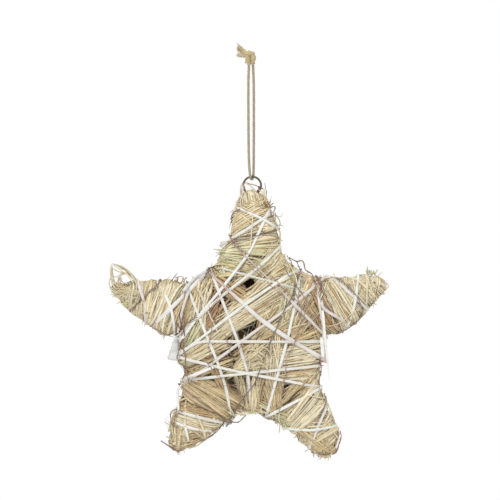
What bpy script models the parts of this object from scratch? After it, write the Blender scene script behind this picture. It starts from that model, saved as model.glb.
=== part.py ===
"""A straw star ornament: straw wound into five fat arms, tied round with white strips and brown
vine twigs, with a wire ring in its top arm and a loop of twine with a knot to hang it by.

Metres, +Z up. The origin is where the loop hangs, just under the knot. The star faces -Y.
"""

import math

import bmesh
import bpy
import numpy as np
from mathutils import Matrix, Vector
from mathutils.bvhtree import BVHTree

# Sizes of the star
STAR_REACH = 0.143
STAR_DEPTH = 0.046
STRAW_FACES = 3000
KNOT_FACES = 320

# Sizes of the windings
STRIP_WIDTH = 0.0037
BROAD_STRIP_WIDTH = 0.0056
STRIP_THICKNESS = 0.0005
TWIG_DIAMETER = 0.0018

# Sizes of the ring and the twine
RING_DIAMETER = 0.0177
RING_WIRE = 0.0019
RING_BURIED = 0.0052
TWINE_DIAMETER = 0.0026
LOOP_DROP = 0.1152
LOOP_HALF_WIDTH = 0.0026
KNOT_WIDTH = 0.0094
KNOT_HEIGHT = 0.0118
KNOT_TAIL_DIAMETER = 0.0048
LOOSE_TAIL_DIAMETER = 0.0029

# Clearance between pieces that touch
GAP = 0.0003

# The star is laid out on a grid of 143 units from its centre to the tip of an arm
UNIT = STAR_REACH / 143
DEPTH_UNIT = STAR_DEPTH / 46
TOP_ARM_UNITS = 137.5

# Heights, worked down from the origin
RING_TOP = -LOOP_DROP + TWINE_DIAMETER / 2 + GAP + RING_WIRE / 2
RING_CENTRE = Vector((0.0012, 0.0, RING_TOP - RING_DIAMETER / 2))
STRAW_TOP = RING_CENTRE.z - RING_DIAMETER / 2 - RING_WIRE / 2 + RING_BURIED
STAR_CENTRE = Vector((-0.002, 0.0, STRAW_TOP - TOP_ARM_UNITS * UNIT))

# Each arm's angle, the tilt of its bundles, and its bundles of straw from the tip inwards:
# distance from the centre, offset to the left, half across, half along, half deep
ARMS = {
    "top": (88.8, -12, [
        (126, -1.5, 14.5, 9, 11),
        (117, -2.0, 18.5, 9, 14),
        (104, -3.0, 23.5, 10, 17),
        (88, -4.0, 26.0, 9, 18),
        (71, -1.5, 34.0, 11, 21),
    ]),
    "right": (17.4, 14, [
        (134, 1.5, 10.0, 8, 10),
        (122, 1.5, 16.0, 9, 13),
        (108, -1.5, 21.5, 9, 16),
        (94, -2.0, 27.0, 10, 18),
        (79, -1.5, 31.0, 11, 20),
    ]),
    "lower_right": (-59.0, 10, [
        (143, 4.0, 11.0, 8, 10),
        (132, 7.0, 18.0, 9, 13),
        (119, 5.0, 20.5, 9, 15),
        (105, 4.5, 23.0, 9, 17),
        (91, 3.0, 28.0, 10, 19),
        (77, 1.0, 34.0, 11, 21),
    ]),
    "lower_left": (-120.9, -10, [
        (134, -2.0, 9.5, 8, 10),
        (122, -2.0, 18.0, 9, 13),
        (110, 0.0, 22.0, 8, 15),
        (96, 1.5, 24.5, 9, 18),
        (82, 1.0, 33.0, 10, 20),
    ]),
    "left": (163.7, -14, [
        (134, 1.0, 8.0, 8, 9),
        (122, 0.5, 14.5, 9, 12),
        (107, 1.0, 20.5, 9, 15),
        (92, 1.0, 25.0, 10, 17),
        (76, 3.5, 28.0, 11, 19),
    ]),
}

# The full centre, and the hanks of straw that lie on its front and its back:
# place across and up, half along, half across, angle
MIDDLE = (3.0, -6.0, 74.0, 75.0)
FRONT_HANKS = [
    (8, 30, 40, 11, 33),
    (-4, 6, 40, 12, 33),
    (-50, -22, 26, 10, 30),
    (50, -36, 26, 11, 10),
    (40, -68, 24, 9, 45),
    (2, -62, 20, 9, 90),
    (6, -72, 26, 12, 0),
    (50, 34, 22, 10, 70),
    (-34, 34, 24, 10, 62),
    (-44, -66, 26, 10, -30),
    (-14, -40, 26, 10, -22),
]
BACK_HANK_COUNT = 9
BACK_HANK = (40, 30, 12)
HANK_HALF_DEPTH = 8.0
HANK_RISE = 2.6

# The white strips, lowest first. Each is a line across the front that goes on round the star:
# width, then places across and up from the star's centre
STRIPS = [
    (STRIP_WIDTH, [(-61, 40), (-52, 17), (-31, -34), (-23, -58), (-19, -82)]),
    (STRIP_WIDTH, [(-29, 34), (-12, -10), (-1, -44), (0, -56)]),
    (STRIP_WIDTH, [(51, 55), (46, 25), (38, -12), (29, -44), (19, -81)]),
    (STRIP_WIDTH, [(69, 42), (69, 31), (74, -2), (75, -26)]),
    (BROAD_STRIP_WIDTH, [(-40, 68), (-41, 56), (-59, 38), (-97, 0)]),
    (STRIP_WIDTH, [(-88, 41), (-78, 23), (-75, 8), (-74, -15)]),
    (STRIP_WIDTH, [(19, 115), (0, 74), (-28, 38), (-50, 12)]),
    (STRIP_WIDTH, [(31, 81), (9, 60), (-27, 32), (-49, 12)]),
    (STRIP_WIDTH, [(52, 58), (39, 53), (-6, 22), (-48, -10)]),
    (STRIP_WIDTH, [(67, 43), (46, 25), (6, -3), (-38, -36)]),
    (STRIP_WIDTH, [(-67, -23), (-49, -13), (73, -13.5)]),
    (STRIP_WIDTH, [(-69, -29), (-38, -37), (-6, -44), (51, -55), (71, -59)]),
    (STRIP_WIDTH, [(-65, -52), (-6, -45), (64, -38)]),
    (BROAD_STRIP_WIDTH, [(-38, 54), (11, 9), (37, -9), (64, -25)]),
    (STRIP_WIDTH, [(0, 68), (44, 25), (73, -5)]),
    (STRIP_WIDTH, [(-9, 118), (15, 108), (30, 98)]),
    (STRIP_WIDTH, [(17, 111), (-2, 98), (-17, 89)]),
    (STRIP_WIDTH, [(75, 53), (87, 47), (111, 25)]),
    (STRIP_WIDTH, [(109, 53), (107, 35), (104, 18), (98, 2)]),
    (STRIP_WIDTH, [(-71, -83), (-49, -89), (-27, -94)]),
    (STRIP_WIDTH, [(-75, -93), (-63, -99), (-36, -103)]),
    (STRIP_WIDTH, [(67, -62), (31, -81)]),
    (STRIP_WIDTH, [(79, -75), (69, -97), (60, -121)]),
    (STRIP_WIDTH, [(37, -100), (61, -102), (86, -98)]),
    (STRIP_WIDTH, [(-109, 48), (-104, 29), (-103, 7)]),
]

# The twigs that go round the star over the strips, lowest first
TWIG_WRAPS = [
    [(-63, 38), (-64, 20), (-65, 0), (-66, -20), (-60, -50)],
    [(5, 68), (48, 27), (76, -1)],
    [(45, -12), (38, -29), (35, -51), (30, -82)],
    [(22, -13), (13, -34), (5, -54), (-14, -84)],
    [(-49, -72), (-22, -92)],
    [(-86, 51), (-96, 38), (-109, 27), (-118, 17)],
    [(67, 52), (71, 42), (81, 22), (87, 8)],
    [(-13, 87), (-1, 89), (7, 91), (23, 96)],
]

# The twigs' loose ends, which curl on the front
TWIG_CURLS = [
    [(87, 50), (92, 48), (97, 43), (103, 37), (108, 30), (111, 22), (113, 16), (112, 11),
     (108, 7), (101, 1), (94, -3), (87, -6)],
    [(21, 120), (25, 121), (26, 119), (24, 115), (21, 115), (24, 111)],
    [(-66, -83), (-73, -81), (-78, -85), (-78, -90), (-77, -96), (-71, -99)],
    [(-23, -91), (-18, -93), (-11, -94), (-6, -90), (-3, -87)],
    [(62, -124), (69, -126), (82, -126), (87, -124), (90, -116), (92, -109), (91, -103)],
    [(-88, -113), (-80, -118), (-73, -122), (-66, -122)],
    [(40, 70), (48, 66), (50, 67), (54, 66), (56, 58), (59, 56), (63, 53), (66, 45)],
]

# Directions, in degrees from straight out of the front, that a taut winding turns through
TAUT_TURNS = (0, 7, 20, 48)
REACH_BEYOND = 120.0
JOINED_SECTION_GAP = 0.0025
SHORTEST_EDGE = 0.0002

COLLECTION = "straw_star_ornament"


def clear_scene():
    """Remove every object, so that the script can run again in an open file."""
    for obj in list(bpy.data.objects):
        bpy.data.objects.remove(obj, do_unlink=True)


def new_collection(name):
    """A collection of this name, linked to the scene."""
    collection = bpy.data.collections.get(name) or bpy.data.collections.new(name)
    if name not in bpy.context.scene.collection.children:
        bpy.context.scene.collection.children.link(collection)
    return collection


def material(name, colour, roughness, metallic=0.0):
    """A plain Principled material."""
    made = bpy.data.materials.get(name) or bpy.data.materials.new(name)
    made.use_nodes = True
    shader = made.node_tree.nodes["Principled BSDF"]
    shader.inputs["Base Color"].default_value = (*colour, 1.0)
    shader.inputs["Roughness"].default_value = roughness
    shader.inputs["Metallic"].default_value = metallic
    return made


def add_object(name, data, collection, surface=None):
    """An object of this data in the collection, with its material."""
    obj = bpy.data.objects.new(name, data)
    collection.objects.link(obj)
    if surface:
        data.materials.append(surface)
    return obj


def triangles_of(obj):
    """The object's triangles as the viewport shows them, as an array of corners in world space."""
    graph = bpy.context.evaluated_depsgraph_get()
    graph.update()
    shown = obj.evaluated_get(graph)
    mesh = shown.to_mesh()
    mesh.calc_loop_triangles()
    corners = np.array([[obj.matrix_world @ mesh.vertices[i].co for i in face.vertices]
                        for face in mesh.loop_triangles])
    shown.to_mesh_clear()
    return corners


def on_star(across, up):
    """A place on the star's middle plane, from its grid."""
    return STAR_CENTRE + Vector((across * UNIT, 0.0, up * UNIT))


# The straw

def add_pebble(shape, centre, half_sizes, angle, squareness=2.6):
    """A rounded lump that is fuller than an ellipsoid, its length turned up by the angle."""
    turn = Matrix.Rotation(-math.radians(angle), 3, "Y")
    made = bmesh.ops.create_uvsphere(shape, u_segments=20, v_segments=12, radius=1.0)
    for vertex in made["verts"]:
        way = vertex.co.normalized()
        fullness = sum(abs(part) ** squareness for part in way) ** (-1.0 / squareness)
        lump = Vector([part * fullness * half for part, half in zip(way, half_sizes)])
        vertex.co = centre + turn @ lump


def add_arm(shape, angle, tilt, bundles):
    """One arm, a row of straw bundles wound across it."""
    out = Vector((math.cos(math.radians(angle)), 0.0, math.sin(math.radians(angle))))
    left = Vector((-out.z, 0.0, out.x))
    for distance, offset, across, along, deep in bundles:
        centre = STAR_CENTRE + (out * distance + left * offset) * UNIT
        half_sizes = (along * UNIT * 1.25, deep * DEPTH_UNIT, across * UNIT)
        add_pebble(shape, centre, half_sizes, angle + tilt)


def middle_depth(across, up):
    """Half the star's depth at a place on its centre."""
    centre_across, centre_up, half_across, half_up = MIDDLE
    out = math.hypot((across - centre_across) / half_across, (up - centre_up) / half_up)
    return STAR_DEPTH / 2 * max(0.0, 1.0 - out ** 2.6) ** (1 / 2.6)


def add_hank(shape, across, up, half_along, half_across, angle, side):
    """A hank of straw that stands a little out of the front (side -1) or the back (side 1)."""
    depth = middle_depth(across, up) - (HANK_HALF_DEPTH - HANK_RISE) * DEPTH_UNIT
    centre = on_star(across, up) + Vector((0.0, side * depth, 0.0))
    half_sizes = (half_along * UNIT, HANK_HALF_DEPTH * DEPTH_UNIT, half_across * UNIT)
    add_pebble(shape, centre, half_sizes, angle, squareness=2.2)


def make_straw(collection, cutters, surface):
    """The wound straw, one piece, with a passage for the ring."""
    shape = bmesh.new()
    for angle, tilt, bundles in ARMS.values():
        add_arm(shape, angle, tilt, bundles)
    across, up, half_across, half_up = MIDDLE
    half_sizes = (half_across * UNIT, STAR_DEPTH / 2, half_up * UNIT)
    add_pebble(shape, on_star(across, up), half_sizes, 0)
    for hank in FRONT_HANKS:
        add_hank(shape, *hank, side=-1)
    distance, half_along, half_width = BACK_HANK
    for number in range(BACK_HANK_COUNT):
        angle = 360 / BACK_HANK_COUNT * number
        across = distance * math.cos(math.radians(angle))
        up = distance * math.sin(math.radians(angle))
        add_hank(shape, across, up, half_along, half_width, angle + 55, side=1)
    mesh = bpy.data.meshes.new("straw_star")
    shape.to_mesh(mesh)
    shape.free()
    straw = add_object("straw_star", mesh, collection, surface)
    remesh = straw.modifiers.new("one skin", "REMESH")
    remesh.mode = "VOXEL"
    remesh.voxel_size = 3.2 * UNIT
    smooth = straw.modifiers.new("soften", "SMOOTH")
    smooth.factor = 0.4
    smooth.iterations = 2
    thin = straw.modifiers.new("fewer faces", "DECIMATE")
    thin.ratio = STRAW_FACES / len(triangles_of(straw))
    cut = straw.modifiers.new("ring passage", "BOOLEAN")
    cut.operation = "DIFFERENCE"
    cut.object = make_ring_cutter(cutters)
    return straw


# The ring

def add_torus(name, wire_radius, sides):
    """A ring of wire that faces the front, centred where the hanging ring is."""
    bpy.ops.mesh.primitive_torus_add(
        location=RING_CENTRE, rotation=(math.pi / 2, 0, 0), major_segments=24, minor_segments=sides,
        major_radius=RING_DIAMETER / 2, minor_radius=wire_radius)
    torus = bpy.context.object
    torus.name = name
    for holder in list(torus.users_collection):
        holder.objects.unlink(torus)
    return torus


def make_ring_cutter(cutters):
    """The passage that the ring takes through the straw, with its clearance."""
    sides = 10
    radius = (RING_WIRE / 2 + GAP) / math.cos(math.pi / sides)
    cutter = add_torus("ring_passage", radius, sides)
    cutters.objects.link(cutter)
    cutter.hide_render = True
    cutter.display_type = "WIRE"
    return cutter


def make_ring(collection, surface):
    """The hanging ring."""
    ring = add_torus("hanging_ring", RING_WIRE / 2, 8)
    collection.objects.link(ring)
    ring.data.materials.append(surface)
    ring.data.shade_smooth()
    return ring


# Windings

class Route:
    """A line across the star's front, with its ends carried on past the star's edge."""

    def __init__(self, places):
        points = [on_star(*place) for place in places]
        first = (points[0] - points[1]).normalized() * REACH_BEYOND * UNIT
        last = (points[-1] - points[-2]).normalized() * REACH_BEYOND * UNIT
        self.points = [points[0] + first, *points[1:-1], points[-1] + last]
        if len(points) == 2:
            self.points = [points[0] + first, points[1] + last]
        self.starts = [0.0]
        for here, there in zip(self.points, self.points[1:]):
            self.starts.append(self.starts[-1] + (there - here).length)

    def way(self, leg):
        """The direction of one leg, and the direction across it."""
        along = (self.points[leg + 1] - self.points[leg]).normalized()
        return along, Vector((-along.z, 0.0, along.x))

    def leg_at(self, run):
        """The leg that this distance along the route is on."""
        for leg in range(len(self.points) - 2):
            if run < self.starts[leg + 1]:
                return leg
        return len(self.points) - 2

    def place(self, run, depth):
        """The point at this distance along the route and this depth."""
        leg = self.leg_at(run)
        along, _ = self.way(leg)
        return self.points[leg] + along * (run - self.starts[leg]) + Vector((0.0, depth, 0.0))

    def across(self, run):
        """The direction across the route there, mitred at a bend."""
        for leg in range(1, len(self.points) - 1):
            if abs(run - self.starts[leg]) < 1e-7:
                before, after = self.way(leg - 1)[1], self.way(leg)[1]
                middle = (before + after).normalized()
                return middle / middle.dot(after)
        return self.way(self.leg_at(run))[1]


def clipped(corners, axis, limit, side):
    """The part of a polygon whose coordinate on the axis is on the wanted side of the limit."""
    kept = []
    for here, there in zip(corners, corners[1:] + corners[:1]):
        here_over = side * (here[axis] - limit)
        there_over = side * (there[axis] - limit)
        if here_over <= 0:
            kept.append(here)
        if (here_over < 0 < there_over) or (there_over < 0 < here_over):
            share = here_over / (here_over - there_over)
            kept.append([a + (b - a) * share for a, b in zip(here, there)])
    return kept


def section(route, triangles, half_width):
    """What lies within half a width of the route: polygons of (run, depth) points."""
    found = []
    for leg in range(len(route.points) - 1):
        along, across = (np.array(way) for way in route.way(leg))
        start = np.array(route.points[leg])
        local = np.stack([(triangles - start) @ along, (triangles - start) @ across,
                          triangles[:, :, 1]], axis=2)
        length = route.starts[leg + 1] - route.starts[leg]
        margin = half_width * 0.4
        near = ((local[:, :, 1].min(1) < half_width) & (local[:, :, 1].max(1) > -half_width)
                & (local[:, :, 0].min(1) < length + margin) & (local[:, :, 0].max(1) > -margin))
        for corners in local[near].tolist():
            for axis, limit, side in ((1, half_width, 1), (1, -half_width, -1),
                                      (0, length + margin, 1), (0, -margin, -1)):
                corners = clipped(corners, axis, limit, side) if corners else corners
            if corners:
                found.append([(corner[0] + route.starts[leg], corner[2]) for corner in corners])
    return found


def wound_stretch(route, polygons):
    """The stretch of the route over which the star and its windings go on without a break."""
    middle = (route.starts[1] + route.starts[-2]) / 2
    if len(route.points) == 2:
        middle = route.starts[-1] / 2
    stretches = sorted((min(p[0] for p in polygon), max(p[0] for p in polygon)) for polygon in polygons)
    low, high = stretches[0]
    for start, end in stretches[1:]:
        if start > high + JOINED_SECTION_GAP:
            if high >= middle:
                break
            low, high = start, end
        high = max(high, end)
    return low, high


def taut_loop(route, straw, windings, half_width, clearance):
    """A taut loop round the star along the route, as (run, depth) points in order."""
    polygons = [polygon for solid in [straw, *windings] for polygon in section(route, solid, half_width)]
    low, high = wound_stretch(route, polygons)
    points = np.array([point for polygon in polygons for point in polygon if low <= point[0] <= high])
    turns = sorted({side * turn for turn in TAUT_TURNS for side in (-1, 1)})
    angles = [math.radians(turn - 90) for turn in turns] + [0.0]
    angles += [math.radians(turn + 90) for turn in turns] + [math.pi]
    normals = [(math.cos(angle), math.sin(angle)) for angle in angles]
    supports = [float((points @ np.array(normal)).max()) + clearance for normal in normals]
    corners = []
    for number, normal in enumerate(normals):
        following = normals[(number + 1) % len(normals)]
        reach, next_reach = supports[number], supports[(number + 1) % len(normals)]
        area = normal[0] * following[1] - normal[1] * following[0]
        corner = ((reach * following[1] - next_reach * normal[1]) / area,
                  (normal[0] * next_reach - following[0] * reach) / area)
        if not corners or math.dist(corner, corners[-1]) > SHORTEST_EDGE:
            corners.append(corner)
    if math.dist(corners[0], corners[-1]) < SHORTEST_EDGE:
        corners.pop()
    return with_bends(route, corners)


def with_bends(route, corners):
    """The loop with a point added wherever it passes a bend of the route."""
    loop = []
    for here, there in zip(corners, corners[1:] + corners[:1]):
        loop.append(here)
        low, high = sorted((here[0], there[0]))
        bends = [run for run in route.starts[1:-1] if low + SHORTEST_EDGE < run < high - SHORTEST_EDGE]
        for run in sorted(bends, reverse=there[0] < here[0]):
            share = (run - here[0]) / (there[0] - here[0])
            loop.append((run, here[1] + (there[1] - here[1]) * share))
    return loop


def make_strip(name, width, places, straw, windings, collection, surface):
    """One white strip: a taut band of the strip's width, thickened outwards."""
    route = Route(places)
    loop = taut_loop(route, straw, windings, width / 2 + GAP, GAP)
    shape = bmesh.new()
    edges = []
    for run, depth in loop:
        centre, across = route.place(run, depth), route.across(run)
        edges.append([shape.verts.new(centre + across * side * width / 2) for side in (-1, 1)])
    for here, there in zip(edges, edges[1:] + edges[:1]):
        shape.faces.new((here[0], here[1], there[1], there[0]))
    bmesh.ops.recalc_face_normals(shape, faces=shape.faces)
    mesh = bpy.data.meshes.new(name)
    shape.to_mesh(mesh)
    shape.free()
    strip = add_object(name, mesh, collection, surface)
    thicken = strip.modifiers.new("thickness", "SOLIDIFY")
    thicken.thickness = STRIP_THICKNESS
    thicken.offset = 1.0
    thicken.use_even_offset = True
    return strip


def add_twig(name, points, closed, collection, surface):
    """A twig along the points."""
    curve = bpy.data.curves.new(name, "CURVE")
    curve.dimensions = "3D"
    curve.bevel_depth = TWIG_DIAMETER / 2
    curve.bevel_resolution = 0
    curve.use_fill_caps = not closed
    spline = curve.splines.new("POLY")
    spline.points.add(len(points) - 1)
    for knot, point in zip(spline.points, points):
        knot.co = (*point, 1.0)
    spline.use_cyclic_u = closed
    return add_object(name, curve, collection, surface)


def make_twig_wrap(name, places, straw, windings, collection, surface):
    """A twig that goes round the star over what is wound there already."""
    route = Route(places)
    reach = TWIG_DIAMETER / 2 + GAP
    loop = taut_loop(route, straw, windings, reach, reach)
    return add_twig(name, [route.place(*corner) for corner in loop], True, collection, surface)


def front_of(trees, across, up):
    """The front-most depth at a place, or None where nothing is."""
    start = Vector((across, -1.0, up))
    hits = [tree.ray_cast(start, Vector((0.0, 1.0, 0.0)))[0] for tree in trees]
    depths = [hit.y for hit in hits if hit]
    return min(depths) if depths else None


def make_twig_curl(name, places, trees, collection, surface):
    """A twig's loose end, which lies on the front or stands out past the star's edge."""
    flat = [on_star(*place) for place in places]
    reach = TWIG_DIAMETER / 2 + GAP
    legs = []
    for here, there in zip(flat, flat[1:]):
        along = (there - here).normalized()
        across = Vector((-along.z, 0.0, along.x))
        depths = []
        for step in range(-1, 10):
            for side in (-1.6, -0.8, 0, 0.8, 1.6):
                spot = here.lerp(there, step / 8) + across * side * reach
                depth = front_of(trees, spot.x, spot.z)
                if depth is not None:
                    depths.append(depth)
        legs.append(min(depths) if depths else None)
    points = []
    for number, place in enumerate(flat):
        near = [leg for leg in legs[max(0, number - 1):number + 1] if leg is not None]
        depth = min(near) if near else (points[-1].y + reach if points else 0.0)
        points.append(place + Vector((0.0, depth - reach, 0.0)))
    return add_twig(name, points, False, collection, surface)


def tree_of(triangles):
    """A search tree of these triangles."""
    corners = [Vector(corner) for corner in triangles.reshape(-1, 3)]
    faces = [(3 * face, 3 * face + 1, 3 * face + 2) for face in range(len(triangles))]
    return BVHTree.FromPolygons(corners, faces)


def make_windings(straw, collection, strip_surface, twig_surface):
    """All strips and twigs, each laid over the ones before it."""
    straw_triangles = triangles_of(straw)
    wound = []
    for number, (width, places) in enumerate(STRIPS, 1):
        strip = make_strip(f"white_strip_{number:02d}", width, places, straw_triangles, wound,
                           collection, strip_surface)
        wound.append(triangles_of(strip))
    for number, places in enumerate(TWIG_WRAPS, 1):
        twig = make_twig_wrap(f"vine_twig_{number:02d}", places, straw_triangles, wound,
                              collection, twig_surface)
        wound.append(triangles_of(twig))
    trees = [tree_of(triangles) for triangles in [straw_triangles, *wound]]
    for number, places in enumerate(TWIG_CURLS, 1):
        curl = make_twig_curl(f"vine_curl_{number:02d}", places, trees, collection, twig_surface)
        trees.append(tree_of(triangles_of(curl)))


# The loop of twine and its knot

def smooth_route(points, spacing):
    """Points at even spacing along a smooth curve through these points."""
    dense = []
    ends = [points[0] * 2 - points[1], *points, points[-1] * 2 - points[-2]]
    for a, b, c, d in zip(ends, ends[1:], ends[2:], ends[3:]):
        for step in range(12):
            t = step / 12
            dense.append(0.5 * (b * 2 + (c - a) * t + (a * 2 - b * 5 + c * 4 - d) * t ** 2
                                + (b * 3 - a - c * 3 + d) * t ** 3))
    dense.append(points[-1])
    kept = [dense[0]]
    for point in dense[1:-1]:
        bend_spacing = spacing if abs(point.z + LOOP_DROP) > 3 * TWINE_DIAMETER else spacing / 5
        if (point - kept[-1]).length >= bend_spacing:
            kept.append(point)
    kept.append(dense[-1])
    return kept


def loop_points():
    """The twine's route: down in front of the ring, under its wire and up behind it."""
    wire = RING_WIRE / 2 + GAP + TWINE_DIAMETER / 2 + 0.0001
    side = LOOP_HALF_WIDTH
    bend = Vector((0.0006, 0.0, RING_TOP))
    round_wire = [bend + Vector((0.0013 * math.sin(turn), wire * math.sin(turn), -wire * math.cos(turn)))
                  for turn in np.radians((-90, -60, -30, 0, 30, 60, 90))]
    down = [Vector((-side * 0.75, -0.0010, -0.0006)), Vector((-side, -0.0012, -0.020)),
            Vector((-side, -0.0012, -0.055)), Vector((-side * 0.8, -0.0016, LOOP_DROP * -0.82)),
            Vector((-side * 0.45, -0.0024, LOOP_DROP * -0.95))]
    up = [Vector((side * 0.95, 0.0024, LOOP_DROP * -0.95)), Vector((side * 1.05, 0.0016, LOOP_DROP * -0.82)),
          Vector((side * 1.1, 0.0012, -0.055)), Vector((side * 1.05, 0.0012, -0.020)),
          Vector((side * 0.75, 0.0010, -0.0006))]
    return down + round_wire + up


def make_loop(collection, surface):
    """The hanging loop of twine."""
    curve = bpy.data.curves.new("hanging_cord", "CURVE")
    curve.dimensions = "3D"
    curve.bevel_depth = TWINE_DIAMETER / 2
    curve.bevel_resolution = 2
    curve.use_fill_caps = True
    points = smooth_route(loop_points(), 2.8 * TWINE_DIAMETER)
    spline = curve.splines.new("POLY")
    spline.points.add(len(points) - 1)
    for knot, point in zip(spline.points, points):
        knot.co = (*point, 1.0)
    return add_object("hanging_cord", curve, collection, surface)


def add_tail(shape, start, end, thick, flare):
    """A frayed tail of the knot, a row of lumps that grows towards its end."""
    steps = max(4, round((end - start).length / (thick * 0.4)))
    for step in range(steps + 1):
        share = step / steps
        half = thick / 2 * (1 + (flare - 1) * share)
        add_pebble(shape, start.lerp(end, share), (half, half * 0.85, half), 0, squareness=2.2)


def make_knot(collection, surface):
    """The knot over the loop: two lobes side by side, a turn over them and two frayed tails."""
    half_width, half_height = KNOT_WIDTH / 2, KNOT_HEIGHT / 2
    middle = Vector((-0.0007, 0.0, half_height + GAP))
    shape = bmesh.new()
    for side, tilt in ((-0.48, 100), (0.42, 82)):
        centre = middle + Vector((side * half_width, 0.0, 0.0))
        add_pebble(shape, centre, (half_height, half_width * 0.75, half_width * 0.58), tilt)
    over = middle + Vector((0.0, -half_width * 0.2, half_height * 0.42))
    add_pebble(shape, over, (half_width * 0.95, half_width * 0.8, half_height * 0.42), -14)
    thick_start = middle + Vector((-half_width * 0.5, 0.0, half_height * 0.55))
    thick_end = middle + Vector((-half_width * 2.25, 0.0, half_height * 1.72))
    add_tail(shape, thick_start, thick_end, KNOT_TAIL_DIAMETER, 1.35)
    thin_start = middle + Vector((-half_width * 0.7, 0.0, half_height * 0.45))
    thin_end = middle + Vector((-half_width * 2.75, 0.0, half_height * 0.5))
    add_tail(shape, thin_start, thin_end, LOOSE_TAIL_DIAMETER, 1.15)
    mesh = bpy.data.meshes.new("hanging_knot")
    shape.to_mesh(mesh)
    shape.free()
    knot = add_object("hanging_knot", mesh, collection, surface)
    remesh = knot.modifiers.new("one skin", "REMESH")
    remesh.mode = "VOXEL"
    remesh.voxel_size = TWINE_DIAMETER * 0.26
    thin = knot.modifiers.new("fewer faces", "DECIMATE")
    thin.ratio = KNOT_FACES / len(triangles_of(knot))
    return knot


def main():
    clear_scene()
    collection = new_collection(COLLECTION)
    cutters = new_collection("cutters")
    straw_surface = material("straw", (0.66, 0.54, 0.36), 0.75)
    strip_surface = material("white_strip", (0.80, 0.77, 0.70), 0.6)
    twig_surface = material("vine", (0.24, 0.16, 0.11), 0.8)
    ring_surface = material("dark_wire", (0.14, 0.12, 0.10), 0.45, metallic=1.0)
    twine_surface = material("twine", (0.48, 0.34, 0.20), 0.85)
    straw = make_straw(collection, cutters, straw_surface)
    make_ring(collection, ring_surface)
    make_windings(straw, collection, strip_surface, twig_surface)
    make_loop(collection, twine_surface)
    make_knot(collection, twine_surface)


main()
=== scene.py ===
"""A straw star ornament: loose straw wound into five fat arms, white strips and thin brown twigs
tied round it, a wire ring in the top arm and a knotted loop of jute twine to hang it by.

Metres, +Z up. The origin is where the loop hangs, just under the knot. The star faces -Y.
"""

import math
import random

import bmesh
import bpy
import numpy as np
from mathutils import Matrix, Vector
from mathutils.bvhtree import BVHTree


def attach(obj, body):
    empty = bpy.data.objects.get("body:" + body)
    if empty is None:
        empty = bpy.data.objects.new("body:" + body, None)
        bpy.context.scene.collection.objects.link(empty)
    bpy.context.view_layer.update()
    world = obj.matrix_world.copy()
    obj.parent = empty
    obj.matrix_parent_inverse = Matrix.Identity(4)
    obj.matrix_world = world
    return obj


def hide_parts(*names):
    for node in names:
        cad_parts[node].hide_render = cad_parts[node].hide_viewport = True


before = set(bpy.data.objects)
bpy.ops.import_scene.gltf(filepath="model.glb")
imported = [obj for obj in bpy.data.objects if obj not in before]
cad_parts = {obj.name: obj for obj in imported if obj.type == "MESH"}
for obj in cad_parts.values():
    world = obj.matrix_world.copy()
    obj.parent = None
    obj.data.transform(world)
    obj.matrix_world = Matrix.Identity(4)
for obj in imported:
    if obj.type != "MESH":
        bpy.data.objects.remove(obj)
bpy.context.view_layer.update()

# Sizes that the solid model has too
STAR_REACH = 0.143
STRIP_WIDTH = 0.0037
BROAD_STRIP_WIDTH = 0.0056
STRIP_THICKNESS = 0.0003
TWIG_DIAMETER = 0.0018
RING_DIAMETER = 0.0177
RING_WIRE = 0.0019
TWINE_DIAMETER = 0.0026
LOOP_DROP = 0.1152
LOOP_HALF_WIDTH = 0.0026
KNOT_WIDTH = 0.0094
KNOT_HEIGHT = 0.0118
GAP = 0.0003

# The star is laid out on a grid of 143 units from its centre to the tip of an arm
UNIT = STAR_REACH / 143
RING_TOP = -LOOP_DROP + TWINE_DIAMETER / 2 + GAP + RING_WIRE / 2
RING_CENTRE = Vector((0.0012, 0.0, RING_TOP - RING_DIAMETER / 2))
STAR_CENTRE = Vector((-0.002, 0.0, RING_CENTRE.z - 0.1421))
KNOT_MIDDLE = Vector((-0.0007, 0.0, KNOT_HEIGHT / 2 + GAP))

MILLIMETRE = 0.001

# Straw: a strand's usual width, its thickness as a share of that, the step of its course, how deep the dark
# straw lies (its dark colour is painted shade), the strands of the lower layer and how far from the centre
# they start, in grid units
STRAW_WIDTH = 0.0017
STRAW_THICKNESS = 0.15
MARCH_STEP = 0.0058
CORE_INSET = 0.0050
FILL_COUNT = 1500
FILL_REACH = 140

# A strip's width and a twig's thickness as shares of their solids', and how far a strip is arched
STRIP_TRIM = 0.78
STRIP_ARCH = 0.12
TWIG_FULLNESS = 0.68

# Twine: plies, the length in which they go once round, the spacing of a twist's points, and the fibres
PLY_COUNT = 3
LOOP_LAY = 0.0085
LOOP_SPACING = 0.0007
KNOT_SPACING = 0.0006
KNOT_FIBRES = 90
LOOP_FIBRES = 150


def colour(red, green, blue):
    """A colour given as on a screen, 0 to 255, in linear light."""
    return tuple((part / 255) ** 2.2 for part in (red, green, blue))


PALE = colour(226, 214, 183)
STRAW = colour(218, 204, 169)
YELLOW = colour(219, 205, 161)
GREENISH = colour(216, 210, 171)
TAN = colour(209, 189, 150)
BROWNISH = colour(192, 165, 126)
REDDISH = colour(180, 148, 114)
GREY_BARK = colour(158, 142, 132)
BARK = colour(146, 122, 110)
DARK_BARK = colour(108, 88, 77)
WHITE = colour(226, 225, 219)
BROWN_SHAVING = colour(196, 178, 166)
PINKISH = colour(217, 207, 200)
LOOP_TWINE = colour(164, 152, 130)
KNOT_TWINE = colour(188, 170, 130)
STRIP_TONES = (colour(226, 227, 221), colour(223, 224, 216), colour(221, 219, 210), colour(219, 216, 210),
               colour(214, 207, 200))
TWIG_TONES = (BARK, colour(134, 112, 100), colour(162, 136, 122), GREY_BARK)

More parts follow.
